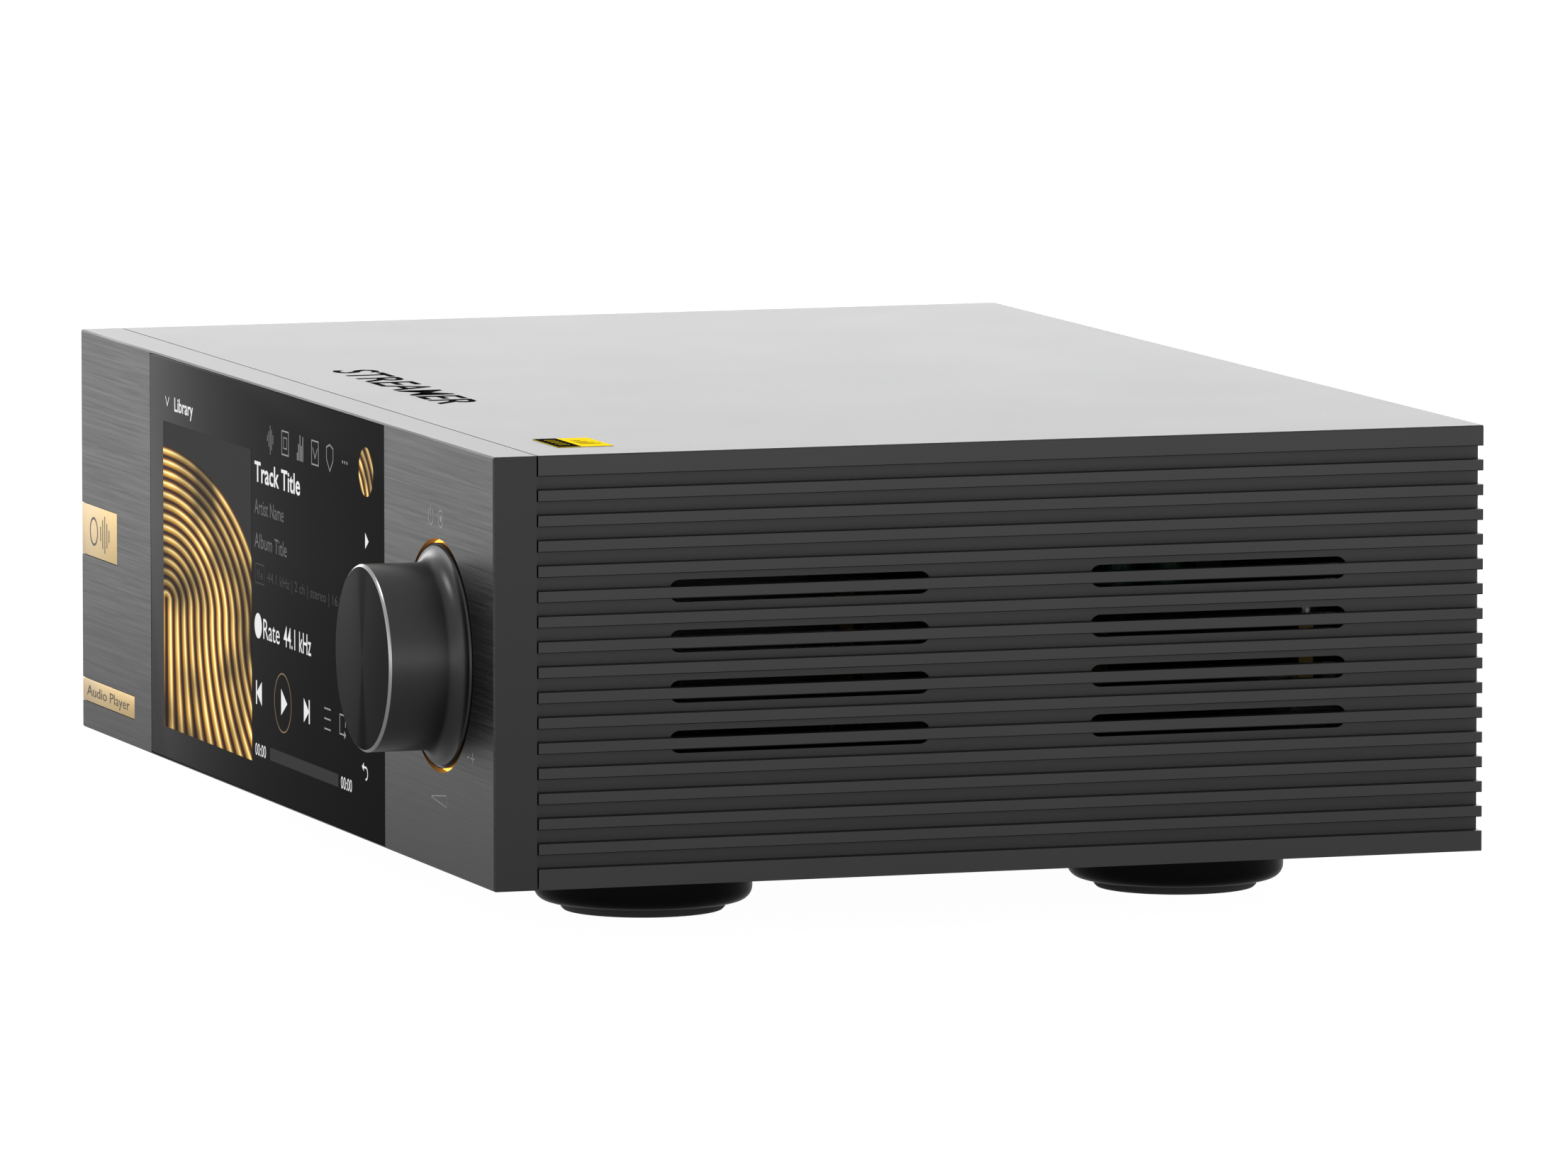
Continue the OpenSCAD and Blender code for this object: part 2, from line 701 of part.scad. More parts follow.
module rear_panel() color("#2b2b2d") in_case() {
    y = [rear_in - cut, rear_y + cut];
    difference() {
        block([-plate_x, plate_x], [rear_in, rear_y], [plate_t + gap, inner_top - gap]);
        for (p = rear_screws) rod_y(p[0], y, p[1], screw_r + 0.1);
        block([inlet_x - 13.7, inlet_x + 13.7], y, [inlet_z - 19.7, inlet_z + 19.7]);
        block([rocker_x - 6.6, rocker_x + 6.6], y, [rocker_z - 9.6, rocker_z + 9.6]);
        for (x = line_xs) rod_y(x, y, audio_z, rca_r + 0.1);
        for (x = coax_xs) rod_y(x, y, coax_z, rca_r + 0.1);
        for (x = xlr_xs) rod_y(x, y, audio_z, xlr_body_r + 0.2);
        for (x = optical_xs)
            block([x - 5.1, x + 5.1], y, [optical_z - 5.2, optical_z + 5.2]);
        block([hdmi_x - 7.7, hdmi_x + 7.7], y, [board_top - 0.1, board_top + 6.4]);
        block([usb_x - 7.4, usb_x + 7.4], y, [board_top - 0.1, board_top + 16]);
        block([lan_x - 8.3, lan_x + 8.3], y, [board_top - 0.1, board_top + 13.9]);
        for (x = antenna_xs) rod_y(x, y, antenna_z, antenna_r + 0.1);
        for (i = [0 : 5]) block([70, 92], y, [46 + i * 4, 48 + i * 4]);
    }
}

inlet_back = 164;
recess_back = 173;
recess_z = inlet_z + 9;
drawer_z = inlet_z - 12.5;
flange_y = rear_y + 2.2;

// Outline of the mains inlet's mouth, two corners cut off
module inlet_mouth(w, h, corner) {
    polygon([
        [-w / 2, -h / 2], [w / 2, -h / 2], [w / 2, h / 2 - corner], [w / 2 - corner, h / 2],
        [-w / 2 + corner, h / 2], [-w / 2, h / 2 - corner]
    ]);
}

// Moulded mains inlet with a slot for the fuse drawer under it
module power_inlet() color("#151515") in_case() {
    difference() {
        union() {
            block([inlet_x - 16, inlet_x + 16], [rear_y, flange_y], [inlet_z - 22, inlet_z + 22]);
            block([inlet_x - 13.5, inlet_x + 13.5], [inlet_back, rear_y],
                [inlet_z - 19.5, inlet_z + 19.5]);
        }
        translate([inlet_x, 0, recess_z]) along_y([recess_back, flange_y + cut])
            inlet_mouth(24.4, 16.6, 4.5);
        block([inlet_x - 12, inlet_x + 12], [inlet_back + 2, flange_y + cut],
            [drawer_z - 4.7, drawer_z + 4.7]);
        for (p = inlet_pins) block([p[0] - 1.05, p[0] + 1.05], [inlet_back - cut, recess_back + cut],
            [p[1] - 2.05, p[1] + 2.05]);
    }
}

inlet_pins = [[inlet_x - 7, recess_z - 1], [inlet_x, recess_z + 3], [inlet_x + 7, recess_z - 1]];

module inlet_blades() color("silver") in_case() {
    for (p = inlet_pins)
        block([p[0] - 1, p[0] + 1], [inlet_back - 4, flange_y - 2], [p[1] - 2, p[1] + 2]);
}

// Pull-out drawer: face plate with a grip lip, and a cradle for one fuse
module fuse_drawer() color("#1c1c1c") in_case() {
    difference() {
        union() {
            block([inlet_x - 11.7, inlet_x + 11.7], [inlet_back + 2.5, flange_y + 1],
                [drawer_z - 4.4, drawer_z + 4.4]);
            block([inlet_x - 5, inlet_x + 5], [flange_y + 1, flange_y + 2],
                [drawer_z + 2, drawer_z + 4.4]);
        }
        block([inlet_x - 10.3, inlet_x + 10.3], [171.3, 176.7], [drawer_z - 2.7, drawer_z + 5]);
    }
}

module fuse() color("silver") in_case() {
    rod_x([inlet_x - 10, inlet_x + 10], 174, drawer_z, 2.6);
}

rocker_y = rear_y - 4;
rocker_pin_r = 1;

module rocker_frame() color("#151515") in_case() {
    difference() {
        union() {
            block([rocker_x - 7.5, rocker_x + 7.5], [rear_y, rear_y + 2],
                [rocker_z - 10.5, rocker_z + 10.5]);
            block([rocker_x - 6.4, rocker_x + 6.4], [rocker_back, rear_y],
                [rocker_z - 9.4, rocker_z + 9.4]);
        }
        block([rocker_x - 5.5, rocker_x + 5.5], [180, rear_y + 2 + cut],
            [rocker_z - 8.5, rocker_z + 8.5]);
        rod_x([rocker_x - 6.1, rocker_x + 6.1], rocker_y, rocker_z, rocker_pin_r + run);
    }
}

// Rocker on two stub pins, its lower side pressed in
module power_rocker() color("#242424") in_case() {
    translate([0, rocker_y, rocker_z]) rotate([-rocker_tilt, 0, 0]) {
        along_x([rocker_x - 5.2, rocker_x + 5.2])
            polygon([[-2, -7.2], [5.5, -7.2], [4.2, 0], [5.5, 7.2], [-2, 7.2]]);
    }
    rod_x([rocker_x - 6, rocker_x + 6], rocker_y, rocker_z, rocker_pin_r);
}

// Balanced output: die-cast flange and barrel around a keyed mouth
module xlr_socket(x) color("#7a7a7a") in_case() {
    difference() {
        union() {
            block([x - 13, x + 13], [rear_y, rear_y + 1.6], [audio_z - 15.5, audio_z + 15.5]);
            rod_y(x, [xlr_back, rear_y], audio_z, xlr_body_r);
        }
        rod_y(x, [xlr_floor, rear_y + 2 + cut], audio_z, xlr_r);
        for (a = [90, 210, 330]) rod_y(x + xlr_pin_c * cos(a), [xlr_back - cut, xlr_floor + cut],
            audio_z + xlr_pin_c * sin(a), xlr_pin_r + 0.05);
        for (s = [-1, 1]) rod_y(x + s * 9.5, [rear_y - cut, rear_y + 3], audio_z + s * 12, 1.6);
    }
}

module xlr_left() xlr_socket(xlr_xs[0]);
module xlr_right() xlr_socket(xlr_xs[1]);

module xlr_pins() color("gold") in_case() {
    for (x = xlr_xs) for (a = [90, 210, 330])
        rod_y(x + xlr_pin_c * cos(a), [xlr_back - 4, rear_y - 1.5], audio_z + xlr_pin_c * sin(a),
            xlr_pin_r);
}

audio_sockets = concat([for (x = line_xs) [x, audio_z]], [for (x = coax_xs) [x, coax_z]]);

module rca_jacks() color("gold") in_case() {
    for (p = audio_sockets) difference() {
        union() {
            rod_y(p[0], [178, rear_y + rca_out], p[1], rca_r);
            rod_y(p[0], [rear_y, rear_y + 1.2], p[1], rca_flange_r);
        }
        rod_y(p[0], [180, rear_y + rca_out + cut], p[1], rca_bore_r);
    }
}

module rca_inserts() color("white") in_case() {
    for (p = audio_sockets) difference() {
        rod_y(p[0], [180.1, rear_y + rca_out - 0.6], p[1], rca_bore_r - 0.05);
        rod_y(p[0], [184, rear_y + rca_out], p[1], 1.65);
    }
}

optical_half = 3.9;
flap_y = rear_y - 1.2;
flap_pin_r = 0.45;
flap_top = optical_z + optical_half - 0.65;

module optical_jacks() color("#151515") in_case() {
    for (x = optical_xs) difference() {
        block([x - 4.9, x + 4.9], [173, rear_y - 0.1], [board_top, optical_z + 5]);
        block([x - optical_half, x + optical_half], [177, rear_y + cut],
            [optical_z - optical_half, optical_z + optical_half]);
        rod_x([x - optical_half - 0.6, x + optical_half + 0.6], flap_y, flap_top,
            flap_pin_r + run);
    }
}

// Dust flap that swings inwards when a plug goes in
module optical_flap(x) color("#1a1a1a") in_case() {
    block([x - 3.6, x + 3.6], [flap_y - 0.4, flap_y + 0.4], [optical_z - 3.5, flap_top]);
    rod_x([x - optical_half - 0.5, x + optical_half + 0.5], flap_y, flap_top, flap_pin_r);
}

module optical_flap_out() optical_flap(optical_xs[0]);
module optical_flap_in() optical_flap(optical_xs[1]);

module ethernet_jack() color("silver") in_case() {
    difference() {
        block([lan_x - 8.1, lan_x + 8.1], [167, rear_y + 0.5], [board_top, board_top + 13.6]);
        block([lan_x - 5.9, lan_x + 5.9], [174, rear_y + 1 + cut], [board_top + 3, board_top + 11.2]);
        block([lan_x - 3, lan_x + 3], [174, rear_y + 1 + cut], [board_top + 1.2, board_top + 3.1]);
    }
}

usb_mouths = [board_top + 1.4, board_top + 9.2];

module port_shells() color("silver") in_case() {
    difference() {
        block([usb_x - 7.2, usb_x + 7.2], [171, rear_y + 0.5], [board_top, board_top + 15.8]);
        for (z = usb_mouths)
            block([usb_x - 6.3, usb_x + 6.3], [176, rear_y + 1 + cut], [z, z + 5.2]);
    }
    difference() {
        block([hdmi_x - 7.5, hdmi_x + 7.5], [177, rear_y + 0.5], [board_top, board_top + 6.2]);
        block([hdmi_x - 7, hdmi_x + 7], [180, rear_y + 1 + cut], [board_top + 0.6, board_top + 5.6]);
    }
}

module port_tongues() color("#2f6fb5") in_case() {
    for (z = usb_mouths)
        block([usb_x - 5.5, usb_x + 5.5], [176, rear_y - 1], [z + 2.9, z + 4.7]);
    block([hdmi_x - 5, hdmi_x + 5], [180, rear_y - 1], [board_top + 2.5, board_top + 3.7]);
}

// Threaded antenna sockets with their panel nuts
module antenna_jacks() color("gold") in_case() {
    for (x = antenna_xs) difference() {
        union() {
            rod_y(x, [rear_in - 8, body_d + rear_out], antenna_z, antenna_r);
            rod_y(x, [rear_y, rear_y + 2.2], antenna_z, antenna_nut_r, $fn = 6);
        }
        rod_y(x, [rear_y + 3, body_d + rear_out + cut], antenna_z, antenna_bore_r);
    }
}

front_panel();
display_glass();
display_panel();
display_frame();
logo_plate();
name_plate();
outer_shell();
base_plate();
rear_panel();
front_bracket();
ssd_cover();
top_label();
volume_knob();
knob_set_screw();
encoder_shaft();
encoder_bushing();
encoder_nut();
encoder_body();
push_plunger();
knob_board();
light_ring();
led_board();
foot_front_left();
foot_front_right();
foot_rear_left();
foot_rear_right();
foot_pads();
foot_screws();
case_screws();
board_standoffs();
board_screws();
main_board();
main_heatsink();
dac_board();
power_board();
power_transformer();
power_capacitors();
power_shield();
display_ribbon();
mains_leads();
power_inlet();
inlet_blades();
fuse_drawer();
fuse();
rocker_frame();
power_rocker();
xlr_left();
xlr_right();
xlr_pins();
rca_jacks();
rca_inserts();
optical_jacks();
optical_flap_out();
optical_flap_in();
ethernet_jack();
port_shells();
port_tongues();
antenna_jacks();
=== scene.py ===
from math import cos, pi, radians, sin

import bmesh
import bpy
from mathutils import Matrix, Vector


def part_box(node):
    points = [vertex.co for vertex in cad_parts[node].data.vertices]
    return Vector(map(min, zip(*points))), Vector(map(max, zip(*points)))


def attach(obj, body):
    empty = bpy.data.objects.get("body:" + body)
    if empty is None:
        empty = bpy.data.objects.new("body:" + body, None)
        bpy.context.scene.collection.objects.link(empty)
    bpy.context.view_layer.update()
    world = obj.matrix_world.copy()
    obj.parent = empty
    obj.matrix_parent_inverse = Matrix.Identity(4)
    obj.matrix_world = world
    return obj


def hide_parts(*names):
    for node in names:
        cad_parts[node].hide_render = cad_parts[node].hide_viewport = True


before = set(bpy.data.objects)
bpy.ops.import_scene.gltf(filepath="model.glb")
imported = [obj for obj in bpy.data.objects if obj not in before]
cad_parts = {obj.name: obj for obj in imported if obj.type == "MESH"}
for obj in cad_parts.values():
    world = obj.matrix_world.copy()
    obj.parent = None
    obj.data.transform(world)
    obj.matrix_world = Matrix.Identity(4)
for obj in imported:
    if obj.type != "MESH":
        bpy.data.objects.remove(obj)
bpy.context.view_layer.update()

# ---- Studio ----
# The player stands on a pale table in an even white room. The room is a little brighter
# towards the horizon than overhead, which is what models the dark anodised metal.

MM = 0.001
VIEW_AZIMUTH = radians(71.504)
VIEW_ELEVATION = radians(6.127)
VIEW_DISTANCE = 2.745
VIEW_LENS = 336.4
LOOK_AT = Vector((25.9, -1.2, 52.4)) * MM
FLOOR_HALF = 4.0


def add_node(tree, kind, inputs=None, **settings):
    """Adds a shader node; an input is a plain value or the socket that feeds it."""
    made = tree.nodes.new("ShaderNode" + kind)
    for key, value in settings.items():
        setattr(made, key, value)
    for key, value in (inputs or {}).items():
        if isinstance(value, bpy.types.NodeSocket):
            tree.links.new(value, made.inputs[key])
        else:
            made.inputs[key].default_value = value
    return made


camera_data = bpy.data.cameras.new("camera")
camera_data.lens = VIEW_LENS
camera_data.sensor_width = 36
camera_data.clip_start = 0.05
camera_data.clip_end = 50
camera = bpy.data.objects.new("camera", camera_data)
bpy.context.scene.collection.objects.link(camera)
towards_camera = Vector((cos(VIEW_ELEVATION) * sin(VIEW_AZIMUTH),
                         -cos(VIEW_ELEVATION) * cos(VIEW_AZIMUTH), sin(VIEW_ELEVATION)))
camera.location = LOOK_AT + towards_camera * VIEW_DISTANCE
camera.rotation_euler = (pi / 2 - VIEW_ELEVATION, 0, VIEW_AZIMUTH)
bpy.context.scene.camera = camera
bpy.context.scene.view_settings.view_transform = "Standard"

room = bpy.data.worlds.new("room")
room.use_nodes = True
bpy.context.scene.world = room
tree = room.node_tree
tree.nodes.clear()
direction = add_node(tree, "TexCoord")
height = add_node(tree, "SeparateXYZ", {"Vector": direction.outputs["Generated"]})
walls = add_node(tree, "ValToRGB", {"Fac": height.outputs["Z"]})
walls.color_ramp.elements[0].position = 0.0
walls.color_ramp.elements[0].color = (2.1, 2.1, 2.1, 1)
walls.color_ramp.elements[1].position = 0.4
walls.color_ramp.elements[1].color = (0.95, 0.95, 0.95, 1)
walls.color_ramp.elements.new(1.0).color = (1.0, 1.0, 1.0, 1)
light = add_node(tree, "Background", {"Color": walls.outputs["Color"], "Strength": 1.0})
backdrop = add_node(tree, "Background", {"Color": (1, 1, 1, 1), "Strength": 1.2})
seen = add_node(tree, "LightPath")
mix = add_node(tree, "MixShader", {"Fac": seen.outputs["Is Camera Ray"], 1: light.outputs[0],
                                   2: backdrop.outputs[0]})
add_node(tree, "OutputWorld", {"Surface": mix.outputs[0]})

floor_mesh = bmesh.new()
bmesh.ops.create_grid(floor_mesh, x_segments=1, y_segments=1, size=FLOOR_HALF)
floor_data = bpy.data.meshes.new("table_top")
floor_mesh.to_mesh(floor_data)
floor_mesh.free()
floor = bpy.data.objects.new("table_top", floor_data)
bpy.context.scene.collection.objects.link(floor)
table_paint = bpy.data.materials.new("table_paint")
table_paint.use_nodes = True
paint = table_paint.node_tree.nodes["Principled BSDF"]
paint.inputs["Base Color"].default_value = (0.12, 0.12, 0.12, 1)
paint.inputs["Roughness"].default_value = 0.9
paint.inputs["Specular IOR Level"].default_value = 0.0
paint.inputs["Emission Color"].default_value = (1, 1, 1, 1)
tree = table_paint.node_tree
# Painted shade: as seen in reflections the table glows less within about 0.7 m of the player, a
# shadow painted round it; to the camera it glows evenly.
spot = add_node(tree, "TexCoord").outputs["Object"]
away = add_node(tree, "VectorMath", {0: spot}, operation="LENGTH")
glow_with_painted_shade = add_node(tree, "MapRange", {"Value": away.outputs["Value"], "From Min": 0.12,
                                        "From Max": 0.7, "To Min": 0.33, "To Max": 1.15})
seen = add_node(tree, "LightPath")
glow = add_node(tree, "Mix", {"Factor": seen.outputs["Is Camera Ray"],
                              "A": glow_with_painted_shade.outputs[0], "B": 0.98})
tree.links.new(glow.outputs[0], paint.inputs["Emission Strength"])
floor_data.materials.append(table_paint)


def soft_box(name, place, target, width, height, power):
    """A rectangular studio light that faces the target."""
    data = bpy.data.lights.new(name, "AREA")
    data.shape = "RECTANGLE"
    data.size = width
    data.size_y = height
    data.energy = power
    lamp = bpy.data.objects.new(name, data)
    lamp.location = place
    lamp.rotation_euler = (Vector(target) - Vector(place)).to_track_quat("-Z", "Y").to_euler()
    lamp.visible_camera = False
    bpy.context.scene.collection.objects.link(lamp)


soft_box("low_box_behind", (-1.9, 0.68, 0.36), (0, 0, 0.09), 2.6, 0.6, 13.5)
soft_box("box_over_knob", (-0.3, -0.9, 1.3), (0.1, -0.1, 0.05), 0.5, 0.5, 6)

# ---- Outer shell and base ----
# The cover is one extruded aluminium section with ribbed sides, bead blasted and anodised
# dark grey. It slides over a pressed steel tray that is powder coated.

case_low, case_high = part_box("outer_shell")
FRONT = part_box("front_panel")[0].y
UNDERSIDE = case_low.z


def in_case(x, y, z):
    """A point given in millimetres from the case's front face, middle and underside."""
    return Vector((x * MM, FRONT + y * MM, UNDERSIDE + z * MM))


def worked_surface():
    """Shader group: fine grain and broader handling marks on any worked surface."""
    group = bpy.data.node_groups.new("worked_surface", "ShaderNodeTree")
    sockets = group.interface
    sockets.new_socket("Colour", in_out="INPUT", socket_type="NodeSocketColor")
    sockets.new_socket("Tint", in_out="INPUT", socket_type="NodeSocketFloat")
    sockets.new_socket("Roughness", in_out="INPUT", socket_type="NodeSocketFloat")
    sockets.new_socket("Patina", in_out="INPUT", socket_type="NodeSocketFloat")
    sockets.new_socket("Fine", in_out="INPUT", socket_type="NodeSocketVector")
    sockets.new_socket("Broad", in_out="INPUT", socket_type="NodeSocketVector")
    sockets.new_socket("Colour", in_out="OUTPUT", socket_type="NodeSocketColor")
    sockets.new_socket("Roughness", in_out="OUTPUT", socket_type="NodeSocketFloat")
    sockets.new_socket("Height", in_out="OUTPUT", socket_type="NodeSocketFloat")
    given = group.nodes.new("NodeGroupInput").outputs
    place = add_node(group, "TexCoord").outputs["Object"]
    fine_place = add_node(group, "VectorMath", {0: place, 1: given["Fine"]}, operation="MULTIPLY")
    broad_place = add_node(group, "VectorMath", {0: place, 1: given["Broad"]},
                           operation="MULTIPLY")
    fine = add_node(group, "TexNoise", {"Vector": fine_place.outputs[0], "Scale": 1.0,
                                        "Detail": 3.0, "Roughness": 0.6})
    broad = add_node(group, "TexNoise", {"Vector": broad_place.outputs[0], "Scale": 1.0,
                                         "Detail": 2.0})
    both = add_node(group, "Math", {0: fine.outputs["Fac"], 1: broad.outputs["Fac"]})
    swing = add_node(group, "Math", {0: both.outputs[0], 1: 1.0}, operation="SUBTRACT")
    tint = add_node(group, "Math", {0: swing.outputs[0], 1: given["Tint"], 2: 1.0},
                    operation="MULTIPLY_ADD")
    colour = add_node(group, "VectorMath", {0: given["Colour"], "Scale": tint.outputs[0]},
                      operation="SCALE")
    rough = add_node(group, "Math", {0: swing.outputs[0], 1: given["Patina"],
                                     2: given["Roughness"]}, operation="MULTIPLY_ADD")
    made = group.nodes.new("NodeGroupOutput").inputs
    group.links.new(colour.outputs[0], made["Colour"])
    group.links.new(rough.outputs[0], made["Roughness"])
    group.links.new(fine.outputs["Fac"], made["Height"])
    return group


SURFACE = worked_surface()
BLASTED = (5200, 5200, 5200)
HANDLED = (38, 38, 38)


def finish(name, colour, roughness, metallic=0.0, fine=BLASTED, broad=HANDLED, tint=0.12,
           patina=0.12, relief=0.03, more=None):
    """A material on the shared surface group; plain numbers sit on the shader itself."""
    material = bpy.data.materials.new(name)
    material.use_nodes = True
    tree = material.node_tree
    shader = tree.nodes["Principled BSDF"]
    surface = add_node(tree, "Group", node_tree=SURFACE)
    surface.inputs["Colour"].default_value = (*colour, 1)
    surface.inputs["Tint"].default_value = tint
    surface.inputs["Roughness"].default_value = roughness
    surface.inputs["Patina"].default_value = patina
    surface.inputs["Fine"].default_value = fine
    surface.inputs["Broad"].default_value = broad
    bump = add_node(tree, "Bump", {"Strength": 0.4, "Distance": relief * MM,
                                   "Height": surface.outputs["Height"]})
    tree.links.new(surface.outputs["Colour"], shader.inputs["Base Color"])
    tree.links.new(surface.outputs["Roughness"], shader.inputs["Roughness"])
    tree.links.new(bump.outputs["Normal"], shader.inputs["Normal"])
    shader.inputs["Metallic"].default_value = metallic
    for socket, value in (more or {}).items():
        shader.inputs[socket].default_value = value
    return material


def dress(nodes, material):
    """Gives carried-over CAD nodes their finish."""
    for name in nodes:
        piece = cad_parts[name]
        piece.data.materials.clear()
        piece.data.materials.append(material)


shell_anodised = finish("shell_anodised", (0.048, 0.048, 0.049), 0.42, metallic=1.0,
                        patina=0.02, relief=0.012)

# Painted shade: the floors of the grooves are darkened a little for the shade under the ribs,
# and a thin dark line is painted along the lower edge of every rib as the shadow there.

RIB_PITCH = 4.54
LAST_GROOVE = 15.5
EDGE_LINE = 0.97
RIB_SHADOW_DARKER = -0.75
GROOVE_SHADE_DARKER = -0.1
FIRST_EDGE = in_case(0, 0, 74.37).z
tree = shell_anodised.node_tree
shader = tree.nodes["Principled BSDF"]
spot = add_node(tree, "SeparateXYZ", {"Vector": add_node(tree, "TexCoord").outputs["Object"]})
side = add_node(tree, "Math", {0: spot.outputs["X"]}, operation="ABSOLUTE")
proud = add_node(tree, "Math", {0: side.outputs[0], 1: case_high.x - MM},
                 operation="GREATER_THAN")
drop = add_node(tree, "Math", {0: FIRST_EDGE, 1: spot.outputs["Z"]}, operation="SUBTRACT")
rows = add_node(tree, "Math", {0: drop.outputs[0], 1: RIB_PITCH * MM}, operation="DIVIDE")
share = add_node(tree, "Math", {0: rows.outputs[0]}, operation="FRACT")
# painted shadow line: the last part of each pitch, just under a rib's lower edge
low_edge = add_node(tree, "Math", {0: share.outputs[0], 1: EDGE_LINE}, operation="GREATER_THAN")
ribbed = add_node(tree, "Math", {0: rows.outputs[0], 1: LAST_GROOVE}, operation="LESS_THAN")
edge = add_node(tree, "Math", {0: low_edge.outputs[0], 1: proud.outputs[0]},
                operation="MULTIPLY")
line = add_node(tree, "Math", {0: edge.outputs[0], 1: ribbed.outputs[0]}, operation="MULTIPLY")
below_band = add_node(tree, "Math", {0: drop.outputs[0], 1: 0.0}, operation="GREATER_THAN")
floors = add_node(tree, "Math", {0: below_band.outputs[0], 1: proud.outputs[0]},
                  operation="SUBTRACT", use_clamp=True)
# painted shade on the groove floors, then the painted shadow line under each rib
groove_shade = add_node(tree, "Math", {0: floors.outputs[0], 1: GROOVE_SHADE_DARKER, 2: 1.0},
                operation="MULTIPLY_ADD")
shade = add_node(tree, "Math", {0: line.outputs[0], 1: RIB_SHADOW_DARKER, 2: groove_shade.outputs[0]},
                 operation="MULTIPLY_ADD")
even = shader.inputs["Base Color"].links[0].from_socket
shaded = add_node(tree, "VectorMath", {0: even, "Scale": shade.outputs[0]}, operation="SCALE")
tree.links.new(shaded.outputs[0], shader.inputs["Base Color"])
plate_black = finish("plate_black", (0.016, 0.016, 0.017), 0.55, fine=(2600, 2600, 2600),
                     relief=0.05)
dress(["outer_shell"], shell_anodised)
dress(["base_plate", "rear_panel", "ssd_cover"], plate_black)

# ---- Front panel ----
# A machined aluminium plate, brushed from side to side before it is anodised. Its edges
# stay plain, and the steel bracket behind it holds it to the tray.

BRUSHED_FINE = (55, 55, 6200)
BRUSHED_BROAD = (26, 26, 2300)
front_brushed = finish("front_brushed", (0.044, 0.044, 0.045), 0.38, metallic=1.0,
                       fine=BRUSHED_FINE, broad=BRUSHED_BROAD, tint=0.75, patina=0.3,
                       relief=0.02)
PLAIN_EDGE = {"Base Color": ("RGBA", (0.038, 0.038, 0.039, 1)), "Roughness": ("FLOAT", 0.42)}
tree = front_brushed.node_tree
shader = tree.nodes["Principled BSDF"]
facing = add_node(tree, "TexCoord").outputs["Normal"]
forward = add_node(tree, "SeparateXYZ", {"Vector": facing})
brushed = add_node(tree, "Math", {0: forward.outputs["Y"], 1: -0.5}, operation="LESS_THAN")
for socket, (kind, plain) in PLAIN_EDGE.items():
    blend = add_node(tree, "Mix", data_type=kind)
    factor, first, second = [item for item in blend.inputs if item.enabled]
    first.default_value = plain
    tree.links.new(brushed.outputs[0], factor)
    tree.links.new(shader.inputs[socket].links[0].from_socket, second)
    tree.links.new([item for item in blend.outputs if item.enabled][0], shader.inputs[socket])
dress(["front_panel"], front_brushed)

# Faint grey legends printed round the knob: a power symbol, a press symbol, a swelling
# wedge for loudness and a minus and plus sign.

PRINT_LIFT = 0.02
knob_low, knob_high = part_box("volume_knob")
KNOB_X = (knob_low.x + knob_high.x) / 2 / MM


def stroke(sheet, start, end, width):
    """A straight line of some width on a flat sheet."""
    start, end = Vector(start), Vector(end)
    along = end - start
    turn = Matrix.Rotation(along.to_2d().angle_signed(Vector((1, 0))), 4, "Z")
    size = Matrix.Diagonal((along.length + width, width, 1, 1))
    place = Matrix.Translation(((start + end) / 2).to_3d())
    bmesh.ops.create_grid(sheet, x_segments=1, y_segments=1, size=0.5,
                          matrix=place @ turn @ size)


def outline(sheet, points, width, closed=True):
    """Strokes from point to point."""
    ends = points[1:] + points[:1] if closed else points[1:]
    for start, end in zip(points, ends):
        stroke(sheet, start, end, width)


def disc(sheet, x, y, radius, sides=48):
    bmesh.ops.create_circle(sheet, cap_ends=True, segments=sides, radius=radius,
                            matrix=Matrix.Translation((x, y, 0)))


def ring(sheet, x, y, radius, width, start=0.0, sweep=2 * pi):
    """A round line, or a part of one, spun from a short radial edge."""
    centre = Vector((x, y, 0))
    arm = Vector((cos(start), sin(start), 0))
    inner = sheet.verts.new(centre + arm * (radius - width / 2))
    outer = sheet.verts.new(centre + arm * (radius + width / 2))
    edge = sheet.edges.new((inner, outer))
    bmesh.ops.spin(sheet, geom=[inner, outer, edge], cent=centre, axis=(0, 0, 1),
                   angle=sweep, steps=max(6, int(48 * abs(sweep) / (2 * pi))),
                   use_merge=abs(sweep) > 6.28)


def arrowhead(sheet, x, y, length, height):
    """A filled triangle that points along +X, or along -X if its length is negative."""
    turn = Matrix.Diagonal((length / 1.5, height / 1.7320508, 1, 1))
    bmesh.ops.create_circle(sheet, cap_ends=True, segments=3, radius=1.0,
                            matrix=Matrix.Translation((x, y, 0)) @ turn
                            @ Matrix.Rotation(-pi / 2, 4, "Z"))


TO_FRONT = Matrix.Rotation(pi / 2, 4, "X")
TO_TOP = Matrix.Identity(4)


def add_piece(name, shape, body, materials, replaces=(), smooth_angle=None):
    """Turns a finished bmesh into a piece of the object that rides on a body."""
    data = bpy.data.meshes.new(name)
    shape.to_mesh(data)
    shape.free()
    for material in materials:
        data.materials.append(material)
    piece = bpy.data.objects.new(name, data)
    bpy.context.scene.collection.objects.link(piece)
    if smooth_angle is not None:
        data.shade_smooth()
        data.set_sharp_from_angle(angle=radians(smooth_angle))
    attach(piece, body)
    if replaces:
        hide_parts(*replaces)
    return piece


def add_flat(name, sheet, depth, material, facing=TO_FRONT, height=0.0, body="root"):
    """Lays a flat sheet, drawn in millimetres, some way behind the front and up."""
    bmesh.ops.recalc_face_normals(sheet, faces=sheet.faces)
    flipped = [face for face in sheet.faces if face.normal.z < 0]
    bmesh.ops.reverse_faces(sheet, faces=flipped)
    place = Matrix.Translation(in_case(0, depth, height))
    sheet.transform(place @ facing @ Matrix.Scale(MM, 4))
    return add_piece(name, sheet, body, [material])


